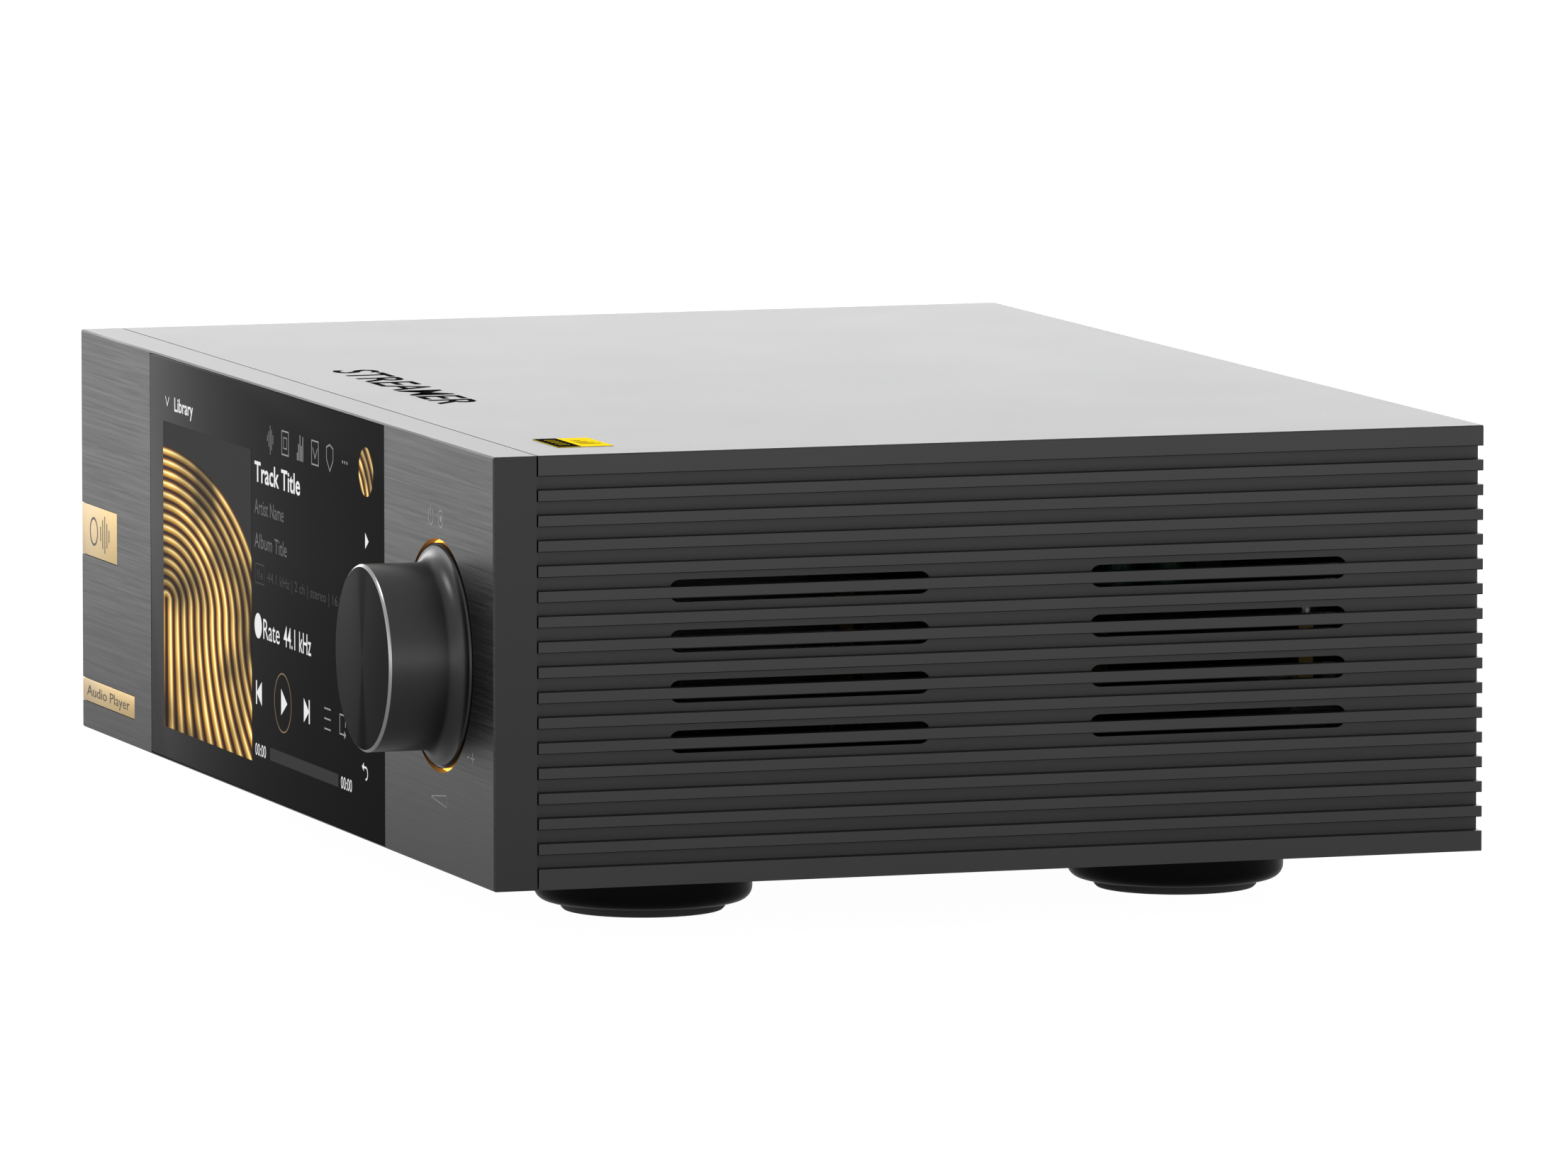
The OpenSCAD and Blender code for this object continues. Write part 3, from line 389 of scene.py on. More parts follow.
panel_print = finish("panel_print", (0.27, 0.27, 0.27), 0.6, relief=0.002,
                     more={"Specular IOR Level": 0.1})
LEGEND_LINE = 0.28
ABOVE_KNOB = 64
POWER_X = KNOB_X - 4.4
PRESS_X = KNOB_X + 1.6
legends = bmesh.new()
ring(legends, POWER_X, ABOVE_KNOB, 1.5, LEGEND_LINE, start=radians(120), sweep=radians(300))
stroke(legends, (POWER_X, ABOVE_KNOB + 0.1), (POWER_X, ABOVE_KNOB + 1.9), LEGEND_LINE)
ring(legends, PRESS_X, ABOVE_KNOB, 1.5, LEGEND_LINE)
disc(legends, PRESS_X, ABOVE_KNOB, 0.6, sides=20)
outline(legends, [(KNOB_X - 5, 13.0), (KNOB_X + 5, 14.1), (KNOB_X + 5, 11.9)], 0.2)
stroke(legends, (119.2, 22.6), (120.2, 22.6), LEGEND_LINE)
stroke(legends, (121.4, 22.6), (123.2, 22.6), LEGEND_LINE)
stroke(legends, (122.3, 21.7), (122.3, 23.5), LEGEND_LINE)
add_flat("panel_legends", legends, -PRINT_LIFT, panel_print)

# ---- Cover glass and display ----
# One sheet of tinted, strengthened glass fills the panel from edge to edge. It is bonded
# in front of the display, which shows the album cover, the track and the transport keys.

glass_low, glass_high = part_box("display_glass")


def rounded_block(low, high, bevel, segments=3):
    """A box with all its edges rounded."""
    shape = bmesh.new()
    size = high - low
    bmesh.ops.create_cube(shape, size=1.0, matrix=Matrix.Translation((low + high) / 2)
                          @ Matrix.Diagonal((*size, 1)))
    bmesh.ops.bevel(shape, geom=shape.edges[:], offset=bevel, affect="EDGES",
                    segments=segments, profile=0.5, material=-1)
    return shape


GLASS_SPECULAR = 0.003
cover_glass = finish("cover_glass", (0.0105, 0.0105, 0.0107), 0.09, fine=(900, 900, 900),
                     tint=0.02, patina=0.02, relief=0.001,
                     more={"Specular IOR Level": GLASS_SPECULAR})
add_piece("cover_glass", rounded_block(glass_low, glass_high, 0.15 * MM), "root",
          [cover_glass], ["display_glass"], smooth_angle=40)


def display_material(name, strength):
    """A dark, glossy material that glows by the strength; its colour is linked in later."""
    material = bpy.data.materials.new(name)
    material.use_nodes = True
    shader = material.node_tree.nodes["Principled BSDF"]
    shader.inputs["Base Color"].default_value = (0.01, 0.01, 0.01, 1)
    shader.inputs["Roughness"].default_value = 0.2
    shader.inputs["Specular IOR Level"].default_value = GLASS_SPECULAR
    shader.inputs["Emission Strength"].default_value = strength
    return material, material.node_tree, shader


def lit(name, colour, strength):
    """A lit part of the picture on the display, seen through the glass."""
    material, tree, shader = display_material(name, strength)
    place = add_node(tree, "TexCoord").outputs["Object"]
    dots = add_node(tree, "TexVoronoi", {"Vector": place, "Scale": 8000.0, "Randomness": 0.0})
    shade = add_node(tree, "MapRange", {"Value": dots.outputs["Distance"], "From Max": 1.0,
                                        "To Min": 1.0, "To Max": 0.75})
    glow = add_node(tree, "VectorMath", {0: colour, "Scale": shade.outputs[0]},
                    operation="SCALE")
    tree.links.new(glow.outputs[0], shader.inputs["Emission Color"])
    return material


CAP_SHARE = 0.72


def lettering(sheet, words, left, right, middle, cap, weight=0.0):
    """Adds words to a flat sheet, fitted between left and right."""
    curve = bpy.data.curves.new("words", "FONT")
    curve.body = words
    curve.size = cap / CAP_SHARE
    curve.offset = weight
    curve.resolution_u = 3
    holder = bpy.data.objects.new("words", curve)
    outline_mesh = bpy.data.meshes.new_from_object(holder)
    xs = [vertex.co.x for vertex in outline_mesh.vertices]
    squeeze = (right - left) / (max(xs) - min(xs))
    outline_mesh.transform(Matrix.Translation((left, middle - cap / 2, 0))
                           @ Matrix.Diagonal((squeeze, 1, 1, 1))
                           @ Matrix.Translation((-min(xs), 0, 0)))
    sheet.from_mesh(outline_mesh)
    bpy.data.objects.remove(holder)
    bpy.data.curves.remove(curve)
    bpy.data.meshes.remove(outline_mesh)


GLASS_LIFT = 0.03
screen_white = lit("screen_white", (1.0, 1.0, 1.0), 0.95)
screen_grey = lit("screen_grey", (0.2, 0.2, 0.2), 0.8)
screen_dim = lit("screen_dim", (0.07, 0.07, 0.07), 0.8)
screen_bronze = lit("screen_bronze", (0.32, 0.22, 0.13), 0.8)

bright = bmesh.new()
lettering(bright, "Library", -69.3, -56.6, 69.3, 2.7, weight=0.06)
outline(bright, [(-75.4, 70.2), (-74.2, 68.6), (-73.0, 70.2)], 0.28, closed=False)
lettering(bright, "Track Title", -15.2, 14.6, 61.7, 3.9, weight=0.09)
disc(bright, -13.2, 32.5, 2.4)
lettering(bright, "Rate", -9.8, 0.9, 32.4, 4.0)
lettering(bright, "44.1 kHz", 3.6, 21.4, 32.4, 4.0, weight=0.03)
for side, x in ((-1, -12.6), (1, 18.2)):
    arrowhead(bright, x - side * 0.5, 19.8, side * 3.4, 4.6)
    stroke(bright, (x + side * 1.9, 17.9), (x + side * 1.9, 21.7), 0.7)
arrowhead(bright, 3.1, 19.7, 4.0, 5.0)
arrowhead(bright, 57.0, 55.4, 2.2, 3.0)
lettering(bright, "00:00", -15.4, -8.4, 9.1, 2.4)
lettering(bright, "00:00", 40.4, 47.4, 9.1, 2.4)
ring(bright, 56.3, 12.4, 1.1, 0.35, start=radians(-100), sweep=radians(190))
stroke(bright, (54.6, 13.5), (56.3, 13.5), 0.35)
arrowhead(bright, 54.6, 13.5, -1.2, 1.6)
add_flat("screen_bright", bright, -GLASS_LIFT, screen_white)

icons = bmesh.new()
for i, reach in enumerate((0.5, 1.5, 2.9, 2.0, 0.8)):
    stroke(icons, (-6.6 + 0.9 * i, 68.6 - reach), (-6.6 + 0.9 * i, 68.6 + reach * 0.8), 0.24)
for x in (5.0, 24.4):
    outline(icons, [(x - 2.2, 66.4), (x + 2.2, 66.4), (x + 2.2, 70.8), (x - 2.2, 70.8)], 0.28)
outline(icons, [(3.9, 67.6), (6.1, 67.6), (6.1, 69.6), (3.9, 69.6)], 0.2)
stroke(icons, (23.0, 69.4), (24.4, 67.6), 0.26)
stroke(icons, (24.4, 67.6), (25.8, 69.4), 0.26)
for i in range(5):
    stroke(icons, (12.9 + 0.9 * i, 66.4), (12.9 + 0.9 * i, 67.4 + (i * 1.7) % 3.6), 0.42)
outline(icons, [(31.8, 70.4), (33.9, 71.0), (36.0, 70.4), (36.0, 68.2), (33.9, 66.1),
                (31.8, 68.2)], 0.28)
for i in range(3):
    disc(icons, 42.1 + 1.4 * i, 68.6, 0.32, sides=16)
for row in range(3):
    stroke(icons, (30.0, 17.9 + 1.9 * row), (33.8, 17.9 + 1.9 * row), 0.3)
outline(icons, [(42.6, 18.0), (39.8, 18.0), (39.8, 21.6), (43.4, 21.6), (43.4, 19.6)], 0.3,
        closed=False)
arrowhead(icons, 43.0, 18.0, 1.1, 1.6)
screen_silver = lit("screen_silver", (0.42, 0.42, 0.42), 0.8)
add_flat("screen_icons", icons, -GLASS_LIFT, screen_silver)

quiet = bmesh.new()
lettering(quiet, "Artist Name", -15.3, 3.8, 55.1, 2.9)
lettering(quiet, "Album Title", -15.4, 5.8, 48.7, 2.9)
add_flat("screen_quiet", quiet, -GLASS_LIFT, screen_grey)

dim = bmesh.new()
outline(dim, [(-14.9, 40.6), (-9.0, 40.6), (-9.0, 44.2), (-14.9, 44.2)], 0.25)
lettering(dim, "file", -13.9, -10.0, 42.4, 1.9)
lettering(dim, "44.1 kHz | 2 ch | stereo | 16 bit", -7.0, 44.0, 42.4, 2.0)
add_flat("screen_dim", dim, -GLASS_LIFT, screen_dim)

track_bar = bmesh.new()
stroke(track_bar, (-4.4, 9.1), (37.6, 9.1), 2.4)
screen_bar = lit("screen_bar", (0.036, 0.036, 0.036), 0.9)
add_flat("screen_track_bar", track_bar, -GLASS_LIFT, screen_bar)

play_ring = bmesh.new()
ring(play_ring, 2.9, 19.6, 5.5, 0.28)
add_flat("screen_play_ring", play_ring, -GLASS_LIFT, screen_bronze)

# The cover picture: nested golden arches on a dark ground, worked out from the distance
# to the middle of the arches' foot. The small round picture shows a part of it.

COVER_LOW = Vector((-77.2, 6.5))
COVER_HIGH = Vector((-17.6, 65.4))
ARCH_FOOT = (0.03, 0.42)
ARCH_REACH = (1.12, 0.5)
ARCH_COUNT = 14.0
ARCH_FAN = 0.55
ARCH_POWER = 2.0


def arches_picture(name, foot, reach, count, fan=0.0):
    """Display material with nested arches drawn on the piece's own map."""
    material, tree, shader = display_material(name, 0.95)
    place = add_node(tree, "UVMap").outputs[0]
    shifted = add_node(tree, "VectorMath", {0: place, 1: (*foot, 0)}, operation="SUBTRACT")
    scaled = add_node(tree, "VectorMath", {0: shifted.outputs[0], 1: (*reach, 1)},
                      operation="DIVIDE")
    axes = add_node(tree, "SeparateXYZ", {"Vector": scaled.outputs[0]})
    depth = add_node(tree, "Math", {0: axes.outputs["Y"], 1: 0.0}, operation="MINIMUM")
    opening = add_node(tree, "Math", {0: depth.outputs[0], 1: 2.0}, operation="POWER")
    below = add_node(tree, "Math", {0: opening.outputs[0], 1: fan, 2: 1.0},
                     operation="MULTIPLY_ADD")
    fanned = add_node(tree, "Math", {0: axes.outputs["X"], 1: below.outputs[0]},
                      operation="DIVIDE")
    across = add_node(tree, "Math", {0: fanned.outputs[0]}, operation="ABSOLUTE")
    above = add_node(tree, "Math", {0: axes.outputs["Y"], 1: 0.0}, operation="MAXIMUM")
    powers = [add_node(tree, "Math", {0: part.outputs[0], 1: ARCH_POWER}, operation="POWER")
              for part in (across, above)]
    total = add_node(tree, "Math", {0: powers[0].outputs[0], 1: powers[1].outputs[0]})
    distance = add_node(tree, "Math", {0: total.outputs[0], 1: 1 / ARCH_POWER},
                        operation="POWER")
    counted = add_node(tree, "Math", {0: distance.outputs[0], 1: count}, operation="MULTIPLY")
    band = add_node(tree, "Math", {0: counted.outputs[0]}, operation="FRACT")
    gold = add_node(tree, "ValToRGB", {"Fac": band.outputs[0]})
    ramp = gold.color_ramp
    for end in ramp.elements:
        end.color = (0.012, 0.006, 0.004, 1)
    for position, colour in ((0.12, (0.02, 0.008, 0.004)), (0.2, (0.22, 0.07, 0.012)),
                             (0.38, (0.52, 0.30, 0.04)), (0.5, (0.70, 0.48, 0.12)),
                             (0.6, (1.0, 0.86, 0.5)), (0.7, (0.62, 0.36, 0.06)),
                             (0.84, (0.12, 0.035, 0.008))):
        ramp.elements.new(position).color = (*colour, 1)
    patch_place = add_node(tree, "VectorMath", {0: scaled.outputs[0], 1: (2.2, 1.4, 1)},
                           operation="MULTIPLY")
    patches = add_node(tree, "TexNoise", {"Vector": patch_place.outputs[0], "Scale": 1.3,
                                          "Detail": 1.0})
    glints = add_node(tree, "MapRange", {"Value": patches.outputs["Fac"], "From Min": 0.35,
                                         "From Max": 0.64, "To Min": 0.25, "To Max": 1.7})
    lit_gold = add_node(tree, "VectorMath", {0: gold.outputs["Color"],
                                             "Scale": glints.outputs[0]}, operation="SCALE")
    inside = add_node(tree, "Math", {0: distance.outputs[0], 1: 1.0}, operation="LESS_THAN")
    picture = add_node(tree, "Mix", {"Factor": inside.outputs[0], "A": (0.02, 0.02, 0.021),
                                     "B": lit_gold.outputs[0]}, data_type="VECTOR")
    tree.links.new(picture.outputs["Result"], shader.inputs["Emission Color"])
    return material


def lay_map(sheet, width):
    """Gives a flat sheet round the origin a map that runs from 0 to 1 over its width."""
    uv = sheet.loops.layers.uv.verify()
    for face in sheet.faces:
        for loop in face.loops:
            loop[uv].uv = (loop.vert.co.x / width + 0.5, loop.vert.co.y / width + 0.5)


cover = bmesh.new()
bmesh.ops.create_grid(cover, x_segments=1, y_segments=1, size=0.5)
lay_map(cover, 1.0)
span = COVER_HIGH - COVER_LOW
cover.transform(Matrix.Translation(((COVER_LOW + COVER_HIGH) / 2).to_3d())
                @ Matrix.Diagonal((span.x, span.y, 1, 1)))
add_flat("screen_cover", cover, -GLASS_LIFT,
         arches_picture("screen_cover", ARCH_FOOT, ARCH_REACH, ARCH_COUNT, ARCH_FAN))

THUMBNAIL_R = 4.55
thumbnail = bmesh.new()
disc(thumbnail, 0, 0, THUMBNAIL_R)
lay_map(thumbnail, 2 * THUMBNAIL_R)
thumbnail.transform(Matrix.Translation((56.9, 68.1, 0)))
add_flat("screen_thumbnail", thumbnail, -GLASS_LIFT,
         arches_picture("screen_thumbnail", (-0.9, -0.4), (2.6, 2.2), 9.0))

dress(["display_panel"], finish("display_black", (0.01, 0.01, 0.011), 0.3))
pressed_steel = finish("pressed_steel", (0.55, 0.55, 0.56), 0.38, metallic=1.0,
                       fine=(1500, 60, 1500), tint=0.1)
dress(["display_frame", "front_bracket"], pressed_steel)
shield_steel = finish("shield_steel", (0.14, 0.14, 0.145), 0.5, metallic=1.0,
                      fine=(1500, 60, 1500), tint=0.1)
dress(["power_shield"], shield_steel)

# ---- Badges ----
# Two thin brass plates, brushed, lacquered and let in flush with the panel's left edge.
# The upper one carries a ring and bars, the lower one the plain name of the thing.

gold_badge = finish("gold_badge", (0.66, 0.47, 0.2), 0.33, metallic=0.85,
                    fine=(900, 900, 5200), broad=(60, 60, 60), tint=0.22, patina=0.2,
                    relief=0.01)
badge_ink = finish("badge_ink", (0.02, 0.015, 0.008), 0.5, relief=0.003)
for name in ("logo_plate", "name_plate"):
    low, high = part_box(name)
    add_piece(name + "_brass", rounded_block(low, high, 0.08 * MM), "root", [gold_badge],
              [name], smooth_angle=40)
BADGE_Z = 39.2
BADGE_LINE = 0.45
badge_mark = bmesh.new()
ring(badge_mark, -126.4, BADGE_Z, 2.6, BADGE_LINE)
for i, reach in enumerate((1.2, 2.6, 3.4, 2.2, 1.0)):
    x = -121.6 + 1.5 * i
    stroke(badge_mark, (x, BADGE_Z - reach), (x, BADGE_Z + reach), BADGE_LINE)
lettering(badge_mark, "Audio Player", -131.8, -101.6, 7.7, 2.1)
add_flat("badge_marks", badge_mark, -PRINT_LIFT, badge_ink)

# ---- Volume knob ----
# Turned from aluminium bar: a spun face, a polished bevel, a fine straight grip and a flare
# that runs out to a thin rim. A grub screw holds it on the encoder's shaft.

AXIS = Vector((KNOB_X * MM, 0, (knob_low.z + knob_high.z) / 2))
KNOB_FRONT = (knob_low.y - FRONT) / MM
KNOB_BACK = (knob_high.y - FRONT) / MM
RIM_R = (knob_high.x - knob_low.x) / 2 / MM
GRIP_R = RIM_R - 3.4
KNOB_BEVEL = 0.42
FLARE_START = -3.4
LIP_T = 0.5
BOSS_R = 6.0
BOSS_BACK = 0.6
BORE_R = 3.02
BORE_END = -8
TURN_STEPS = 128
SEAM = 1e-7


def spun_shape(places, centre, axis, steps):
    """Spins a chain of points about an axis and closes the seam and the poles."""
    shape = bmesh.new()
    points = [shape.verts.new(place) for place in places]
    edges = [shape.edges.new(pair) for pair in zip(points, points[1:])]
    bmesh.ops.spin(shape, geom=points + edges, cent=centre, axis=axis, angle=2 * pi,
                   steps=steps, use_merge=True)
    bmesh.ops.remove_doubles(shape, verts=shape.verts, dist=SEAM)
    bmesh.ops.recalc_face_normals(shape, faces=shape.faces)
    return shape


def turned(profile, axis=AXIS, steps=TURN_STEPS):
    """Turns a profile of (radius, distance behind the front face) about an axis along Y."""
    centre = Vector((axis.x, 0, axis.z))
    places = [Vector((radius * MM, FRONT + y * MM, 0)) + centre for radius, y in profile]
    return spun_shape(places, centre, (0, 1, 0), steps)


def quarter(centre, size, start, steps=10):
    """Points of a quarter ellipse about a centre, from an angle in quarter turns."""
    return [(centre[0] + size[0] * cos(pi / 2 * (start + i / steps)),
             centre[1] + size[1] * sin(pi / 2 * (start + i / steps))) for i in range(steps + 1)]


flare = quarter((RIM_R - LIP_T, FLARE_START), (GRIP_R - RIM_R + LIP_T, -0.3 - FLARE_START), 0)
knob_profile = ([(0, KNOB_FRONT), (GRIP_R - KNOB_BEVEL - 0.05, KNOB_FRONT),
                 (GRIP_R - KNOB_BEVEL, KNOB_FRONT + 0.02), (GRIP_R - 0.02, KNOB_FRONT + KNOB_BEVEL),
                 (GRIP_R, KNOB_FRONT + KNOB_BEVEL + 0.05)] + flare
                + quarter((RIM_R - 0.3, 0.0), (0.3, -0.3), -1, steps=4)
                + [(RIM_R, KNOB_BACK), (BOSS_R, KNOB_BACK), (BOSS_R, BOSS_BACK),
                   (BORE_R, BOSS_BACK), (BORE_R, BORE_END), (0, BORE_END)])

knob_anodised = finish("knob_anodised", (0.044, 0.044, 0.045), 0.33, metallic=1.0,
                       relief=0.006, patina=0.06)
knob_face = finish("knob_face", (0.015, 0.015, 0.0155), 0.38, relief=0.004, tint=0.1,
                   patina=0.08, more={"Specular IOR Level": 0.005})
tree = knob_face.node_tree
shader = tree.nodes["Principled BSDF"]
place = add_node(tree, "TexCoord").outputs["Object"]
centred = add_node(tree, "VectorMath", {0: place, 1: AXIS}, operation="SUBTRACT")
flat = add_node(tree, "VectorMath", {0: centred.outputs[0], 1: (1, 0, 1)}, operation="MULTIPLY")
radius = add_node(tree, "VectorMath", {0: flat.outputs[0]}, operation="LENGTH")
grooves = add_node(tree, "TexNoise", {"W": radius.outputs["Value"], "Scale": 5200.0,
                                      "Detail": 2.0}, noise_dimensions="1D")
level = add_node(tree, "MapRange", {"Value": grooves.outputs["Fac"], "To Min": 0.75,
                                    "To Max": 1.25})
# Painted reflection: the face is darkened in an upright band through the axis, a bow tie standing
# in for how the turned face reflects; the fine rings above are the real turning marks.
offset = add_node(tree, "SeparateXYZ", {"Vector": flat.outputs[0]})
aside = add_node(tree, "Math", {0: offset.outputs["X"]}, operation="ABSOLUTE")
lean = add_node(tree, "Math", {0: aside.outputs[0], 1: radius.outputs["Value"]},
                operation="DIVIDE")
fan = add_node(tree, "MapRange", {"Value": lean.outputs[0], "From Min": 0.02,
                                  "From Max": 0.3, "To Min": 0.2, "To Max": 1.0},
               interpolation_type="SMOOTHSTEP")
spun = add_node(tree, "Math", {0: level.outputs[0], 1: fan.outputs[0]}, operation="MULTIPLY")
even = shader.inputs["Base Color"].links[0].from_socket
rings_and_painted_sheen = add_node(tree, "VectorMath", {0: even, "Scale": spun.outputs[0]}, operation="SCALE")
tree.links.new(rings_and_painted_sheen.outputs[0], shader.inputs["Base Color"])
knob_bevel = finish("knob_bevel", (0.3, 0.3, 0.305), 0.24, metallic=1.0, relief=0.002)
knob = turned(knob_profile)
for face in knob.faces:
    middle = face.calc_center_median()
    reach = (Vector((middle.x, 0, middle.z)) - AXIS).length / MM
    depth = (middle.y - FRONT) / MM
    if depth < KNOB_FRONT + KNOB_BEVEL + 0.04:
        face.material_index = 2 if reach > GRIP_R - KNOB_BEVEL - 0.06 else 1
add_piece("volume_knob_turned", knob, "knob", [knob_anodised, knob_face, knob_bevel],
          ["volume_knob"], smooth_angle=28)
screw_black = finish("screw_black", (0.02, 0.02, 0.02), 0.4, metallic=1.0,
                     fine=(2000, 2000, 2000))
dress(["knob_set_screw"], screw_black)

# ---- Encoder and light ring ----
# The push-and-turn encoder is held in the panel by its nut. Round the knob's rim lies a
# clear ring that leads the light of the amber lamps on the board behind it.

turned_steel = finish("turned_steel", (0.5, 0.5, 0.5), 0.3, metallic=1.0,
                      fine=(400, 6000, 400))
dress(["encoder_shaft", "encoder_bushing", "encoder_nut"], turned_steel)
dress(["encoder_body"], pressed_steel)
dress(["push_plunger"], finish("plunger_white", (0.7, 0.7, 0.68), 0.5))

ring_low, ring_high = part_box("light_ring")
ring_front = (ring_low.y - FRONT) / MM
ring_back = (ring_high.y - FRONT) / MM
ring_r = (ring_high.x - ring_low.x) / 2 / MM
RING_SINK = 0.8
RING_FLANGE_R = 15
sleeve_r = RIM_R + 0.3
diffuser = bpy.data.materials.new("diffuser_amber")
diffuser.use_nodes = True
tree = diffuser.node_tree
shader = tree.nodes["Principled BSDF"]
shader.inputs["Base Color"].default_value = (0.9, 0.5, 0.12, 1)
shader.inputs["Roughness"].default_value = 0.35
shader.inputs["Emission Strength"].default_value = 2.4
place = add_node(tree, "TexCoord").outputs["Object"]
lamps = add_node(tree, "TexNoise", {"Vector": place, "Scale": 120.0, "Detail": 1.0})
warmth = add_node(tree, "Mix", {"Factor": lamps.outputs["Fac"], "A": (1.0, 0.30, 0.03),
                                "B": (1.0, 0.52, 0.10)}, data_type="VECTOR")
tree.links.new(warmth.outputs["Result"], shader.inputs["Emission Color"])
add_piece("light_ring_diffuser",
          turned([(sleeve_r, ring_front + RING_SINK), (ring_r, ring_front + RING_SINK),
                  (ring_r, ring_back), (RING_FLANGE_R, ring_back),
                  (RING_FLANGE_R, ring_back - 0.8), (sleeve_r, ring_back - 0.8),
                  (sleeve_r, ring_front + RING_SINK)]),
          "root", [diffuser], ["light_ring"], smooth_angle=30)

# ---- Feet ----
# Four turned feet, lacquered gloss black over a rounded lower edge, each with a soft pad
# let into its underside and a bolt through its middle.

foot_black = finish("foot_black", (0.0022, 0.0022, 0.0024), 0.2, fine=(700, 700, 700),
                    tint=0.05, patina=0.1, relief=0.002, more={"Specular IOR Level": 0.07})
rubber_black = finish("rubber_black", (0.012, 0.012, 0.012), 0.7, fine=(1800, 1800, 1800),
                      relief=0.05)
pads_low, pads_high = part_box("foot_pads")
FOOT_ROUND = 2.5
FOOT_CHAMFER = 0.3
PAD_SINK = 1.5


def turned_up(profile, x, y, steps=96):
    """Turns a profile of (radius, height) in millimetres about an upright axis."""
    centre = Vector((x, y, 0))
    places = [centre + Vector((radius * MM, 0, height * MM)) for radius, height in profile]
    return spun_shape(places, centre, (0, 0, 1), steps)


for name in ("foot_front_left", "foot_front_right", "foot_rear_left", "foot_rear_right"):
    low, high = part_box(name)
    middle = (low + high) / 2
    radius = (high.x - low.x) / 2 / MM
    top, bottom = high.z / MM, low.z / MM
    rounding = quarter((radius - FOOT_ROUND, bottom + FOOT_ROUND), (FOOT_ROUND, -FOOT_ROUND), 0,
                       steps=8)
    pad_room = (pads_high.x - pads_low.x) / 2 / MM - abs(middle.x) / MM + 0.1
    add_piece(name + "_turned",
              turned_up([(0, top), (radius - FOOT_CHAMFER, top), (radius, top - FOOT_CHAMFER)]
                        + rounding
                        + [(pad_room + 0.2, bottom), (pad_room, bottom + 0.2),
                           (pad_room, bottom + PAD_SINK), (0, bottom + PAD_SINK)],
                        middle.x, middle.y),
              "root", [foot_black], [name], smooth_angle=32)
dress(["foot_pads"], rubber_black)
zinc_steel = finish("zinc_steel", (0.55, 0.55, 0.57), 0.3, metallic=1.0, fine=(900, 900, 900))
dress(["foot_screws", "board_screws"], zinc_steel)
dress(["case_screws"], screw_black)

# ---- Top of the case ----
# A plain word for the thing is screen printed in black near the front edge. A small film
# sticker, gold with a black band, is stuck down by the right front corner.

NO_SHEEN = {"Specular IOR Level": 0.0}
top_ink = finish("top_ink", (0.008, 0.008, 0.008), 0.6, relief=0.002, more=NO_SHEEN)
mark = bmesh.new()
lettering(mark, "STREAMER", -35, 36, 25.2, 8.6, weight=0.16)
case_top = (case_high.z - UNDERSIDE) / MM
add_flat("top_mark", mark, 0, top_ink, facing=TO_TOP,
         height=case_top + PRINT_LIFT)

label_low, label_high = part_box("top_label")
label_gold = finish("label_gold", (0.86, 0.62, 0.02), 0.5, fine=(1200, 1200, 1200), tint=0.1,
                    more=NO_SHEEN)
label_ink = finish("label_ink", (0.006, 0.006, 0.006), 0.5, relief=0.002, more=NO_SHEEN)
add_piece("top_sticker", rounded_block(label_low, label_high, 0.03 * MM, segments=1), "root",
          [label_gold], ["top_label"])
sticker = bmesh.new()
label_x, label_y = label_low.x / MM, (label_low.y - FRONT) / MM
label_w, label_d = (label_high.x - label_low.x) / MM, (label_high.y - label_low.y) / MM
label_top = (label_high.z - UNDERSIDE) / MM
BAND = 0.42
bmesh.ops.create_grid(sticker, x_segments=1, y_segments=1, size=0.5,
                      matrix=Matrix.Translation((label_x + label_w / 2,
                                                 label_y + label_d * BAND / 2, 0))
                      @ Matrix.Diagonal((label_w, label_d * BAND, 1, 1)))
for i in range(4):
    x = label_x + label_w * (0.34 + 0.12 * i)
    stroke(sticker, (x, label_y + label_d * 0.56), (x, label_y + label_d * (0.68 + 0.07 * i)),
           0.6)
add_flat("top_sticker_print", sticker, 0, label_ink, facing=TO_TOP,
         height=label_top + PRINT_LIFT)
band_marks = bmesh.new()
for i in range(5):
    x = label_x + label_w * (0.22 + 0.14 * i)
    stroke(band_marks, (x, label_y + label_d * 0.12), (x, label_y + label_d * 0.3), 0.3)
add_flat("top_sticker_band_marks", band_marks, 0, label_gold, facing=TO_TOP,
         height=label_top + 2 * PRINT_LIFT)

# ---- Rear sockets ----
# Standard audio, network, radio and mains sockets, moulded or plated, and screwed or
# clipped into the rear panel. The antenna sockets are turned and carry a thread and a nut.

gold_plate = finish("gold_plate", (0.8, 0.56, 0.22), 0.22, metallic=1.0, fine=(900, 4000, 900),
                    tint=0.08)
xlr_nickel = finish("xlr_nickel", (0.33, 0.33, 0.34), 0.35, metallic=1.0,
                    fine=(2600, 2600, 2600))
moulded_black = finish("moulded_black", (0.014, 0.014, 0.015), 0.45, fine=(3000, 3000, 3000),
                       relief=0.04)
dress(["rca_jacks", "xlr_pins"], gold_plate)
REAR = (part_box("rear_panel")[1].y - FRONT) / MM
ANTENNA_XS = (-104, 104)
ANTENNA_Z = 63
THREAD_R = 3.175
THREAD_ROOT = 2.8
THREAD_PITCH = 0.72
THREAD_TURNS = 11
NUT_T = 2.2
NUT_R = 4.6
ANTENNA_BORE_R = 2.3
ANTENNA_BORE_DEPTH = 3
THREAD_LEAD = 0.3
antenna_low, antenna_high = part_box("antenna_jacks")
ANTENNA_BACK = (antenna_low.y - FRONT) / MM
ANTENNA_END = (antenna_high.y - FRONT) / MM
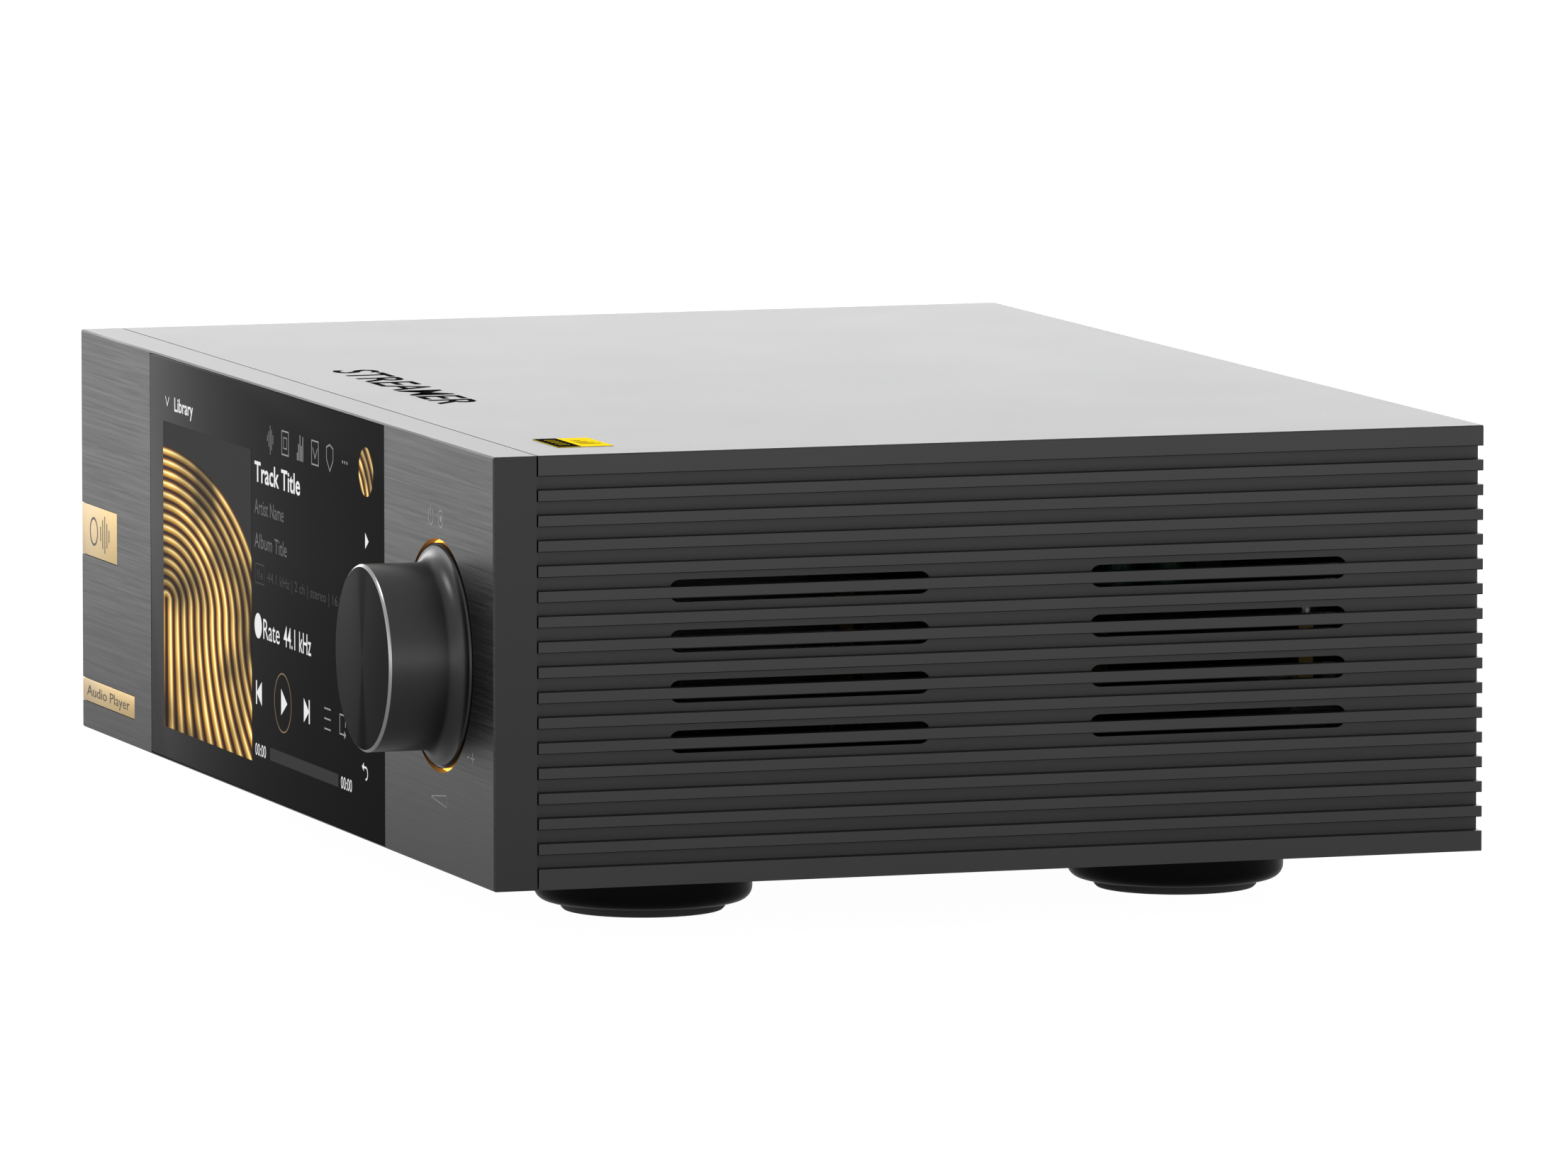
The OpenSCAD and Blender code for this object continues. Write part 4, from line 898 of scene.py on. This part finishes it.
thread = [(radius, ANTENNA_END - THREAD_LEAD - THREAD_PITCH * (turn + step))
          for turn in range(THREAD_TURNS)
          for step, radius in ((0.0, THREAD_R), (0.25, THREAD_R), (0.5, THREAD_ROOT),
                               (0.75, THREAD_ROOT))]
antenna_profile = ([(0, REAR + ANTENNA_BORE_DEPTH),
                    (ANTENNA_BORE_R, REAR + ANTENNA_BORE_DEPTH), (ANTENNA_BORE_R, ANTENNA_END),
                    (THREAD_R - THREAD_LEAD, ANTENNA_END)] + thread
                   + [(THREAD_R, thread[-1][1] - 0.2), (THREAD_R, ANTENNA_BACK),
                      (0, ANTENNA_BACK)])
antennas = bmesh.new()
for x in ANTENNA_XS:
    centre = in_case(x, 0, ANTENNA_Z)
    barrel = turned(antenna_profile, axis=Vector((centre.x, 0, centre.z)), steps=48)
    bmesh.ops.create_cone(barrel, cap_ends=True, segments=6, radius1=NUT_R * MM,
                          radius2=NUT_R * MM, depth=NUT_T * MM,
                          matrix=Matrix.Translation(in_case(x, REAR + NUT_T / 2, ANTENNA_Z))
                          @ TO_FRONT)
    held = bpy.data.meshes.new("barrel")
    barrel.to_mesh(held)
    barrel.free()
    antennas.from_mesh(held)
    bpy.data.meshes.remove(held)
add_piece("antenna_sockets", antennas, "root", [gold_plate], ["antenna_jacks"],
          smooth_angle=30)
dress(["xlr_left", "xlr_right"], xlr_nickel)
dress(["power_inlet", "rocker_frame", "optical_jacks", "optical_flap_out", "optical_flap_in",
       "fuse_drawer"], moulded_black)
dress(["power_rocker"], finish("rocker_gloss", (0.016, 0.016, 0.016), 0.2))
dress(["inlet_blades"], finish("nickel_contact", (0.6, 0.58, 0.53), 0.25, metallic=1.0))
dress(["fuse"], finish("fuse_glass", (0.7, 0.72, 0.72), 0.12))
dress(["rca_inserts"], finish("insert_white", (0.66, 0.66, 0.64), 0.4))
dress(["ethernet_jack", "port_shells"], pressed_steel)
dress(["port_tongues"], finish("tongue_blue", (0.02, 0.1, 0.4), 0.4))

# Plain words and thin frames round each group of sockets. The hexagon sockets in the screws
# are flat black hexagons on the heads, painted shade for the recesses.

TO_BACK = Matrix.Rotation(pi, 4, "Z") @ TO_FRONT
rear_print = finish("rear_print", (0.32, 0.32, 0.32), 0.6, relief=0.002)
CAP = 1.8
SMALL_CAP = 1.5
words = bmesh.new()


def rear_word(word, middle, half, z, cap=CAP):
    """A word on the rear, round its middle, as seen from behind."""
    lettering(words, word, middle - half, middle + half, z, cap, weight=0.02)


rear_word("BALANCED OUT", -29.0, 8.5, 71.0)
rear_word("LINE OUT", 21.0, 5.5, 62.8)
rear_word("COAX", 21.0, 3.2, 27.2)
rear_word("OPTICAL", -11.0, 5.0, 22.6)
rear_word("VIDEO", -37.0, 3.5, 19.2)
rear_word("DATA", -60.0, 3.2, 28.6)
rear_word("LAN", -86.0, 2.6, 26.4)
rear_word("POWER", 72.0, 4.4, 39.4)
rear_word("AC IN", 104.0, 3.6, 50.8)
for x, word in ((-46, "L"), (-12, "R"), (30, "R"), (12, "L")):
    rear_word(word, x, 0.6, 35.6 if x < 0 else 44.4)
for x, word in ((30, "OUT"), (12, "IN"), (-3, "OUT"), (-19, "IN")):
    rear_word(word, x, 0.95 * len(word), 9.6 if x > 0 else 7.6, cap=SMALL_CAP)
for x in ANTENNA_XS:
    rear_word("ANT", x, 2.6, 56.2)
for left, right, low, high in ((-62, 39, 32.6, 73.6), (-26, 39, 4.4, 30.2)):
    outline(words, [(left, low), (right, low), (right, high), (left, high)], 0.18)
add_flat("rear_words", words, REAR + PRINT_LIFT, rear_print, facing=TO_BACK)

# Painted shade: flat black hexagons laid on the screw heads stand in for the shade in their
# sockets.
socket_painted_shade = finish("socket_painted_shade", (0.002, 0.002, 0.002), 0.8, relief=0.002)
sockets = bmesh.new()
CORNER_X = 126.7
CORNER_ZS = (7.0, 72.1)
for x in (-CORNER_X, CORNER_X):
    for z in CORNER_ZS:
        bmesh.ops.create_circle(sockets, cap_ends=True, segments=6, radius=1.25,
                                matrix=Matrix.Translation((x, z, 0)))
HEADS = (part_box("case_screws")[1].y - FRONT) / MM
add_flat("screw_socket_shade", sockets, HEADS + PRINT_LIFT, socket_painted_shade,
         facing=TO_BACK)

# ---- Inside ----
# Populated boards are screwed to brass pillars, the power supply sits under a steel hood,
# and a flat cable and short leads join them to the display and to the mains sockets.

dress(["main_board", "dac_board", "power_board", "knob_board", "led_board"],
      finish("board_green", (0.006, 0.07, 0.03), 0.4, fine=(700, 700, 40),
             broad=(140, 140, 40), tint=0.8))
# Painted shade: the pillars' brass is darkened far below its own colour for the dark inside of the
# case.
dress(["board_standoffs"], finish("standoff_brass", (0.2, 0.14, 0.05), 0.4, metallic=1.0))
dress(["main_heatsink"], finish("heatsink_black", (0.02, 0.02, 0.021), 0.45, metallic=0.6))
dress(["power_transformer"], finish("ferrite_tape", (0.5, 0.3, 0.03), 0.4,
                                    fine=(60, 60, 900)))
dress(["power_capacitors"], finish("capacitor_sleeve", (0.012, 0.018, 0.04), 0.25))
dress(["display_ribbon"], finish("ribbon_film", (0.35, 0.17, 0.03), 0.3,
                                 fine=(1600, 20, 20), tint=0.3))
dress(["mains_leads"], finish("lead_brown", (0.11, 0.04, 0.015), 0.5))
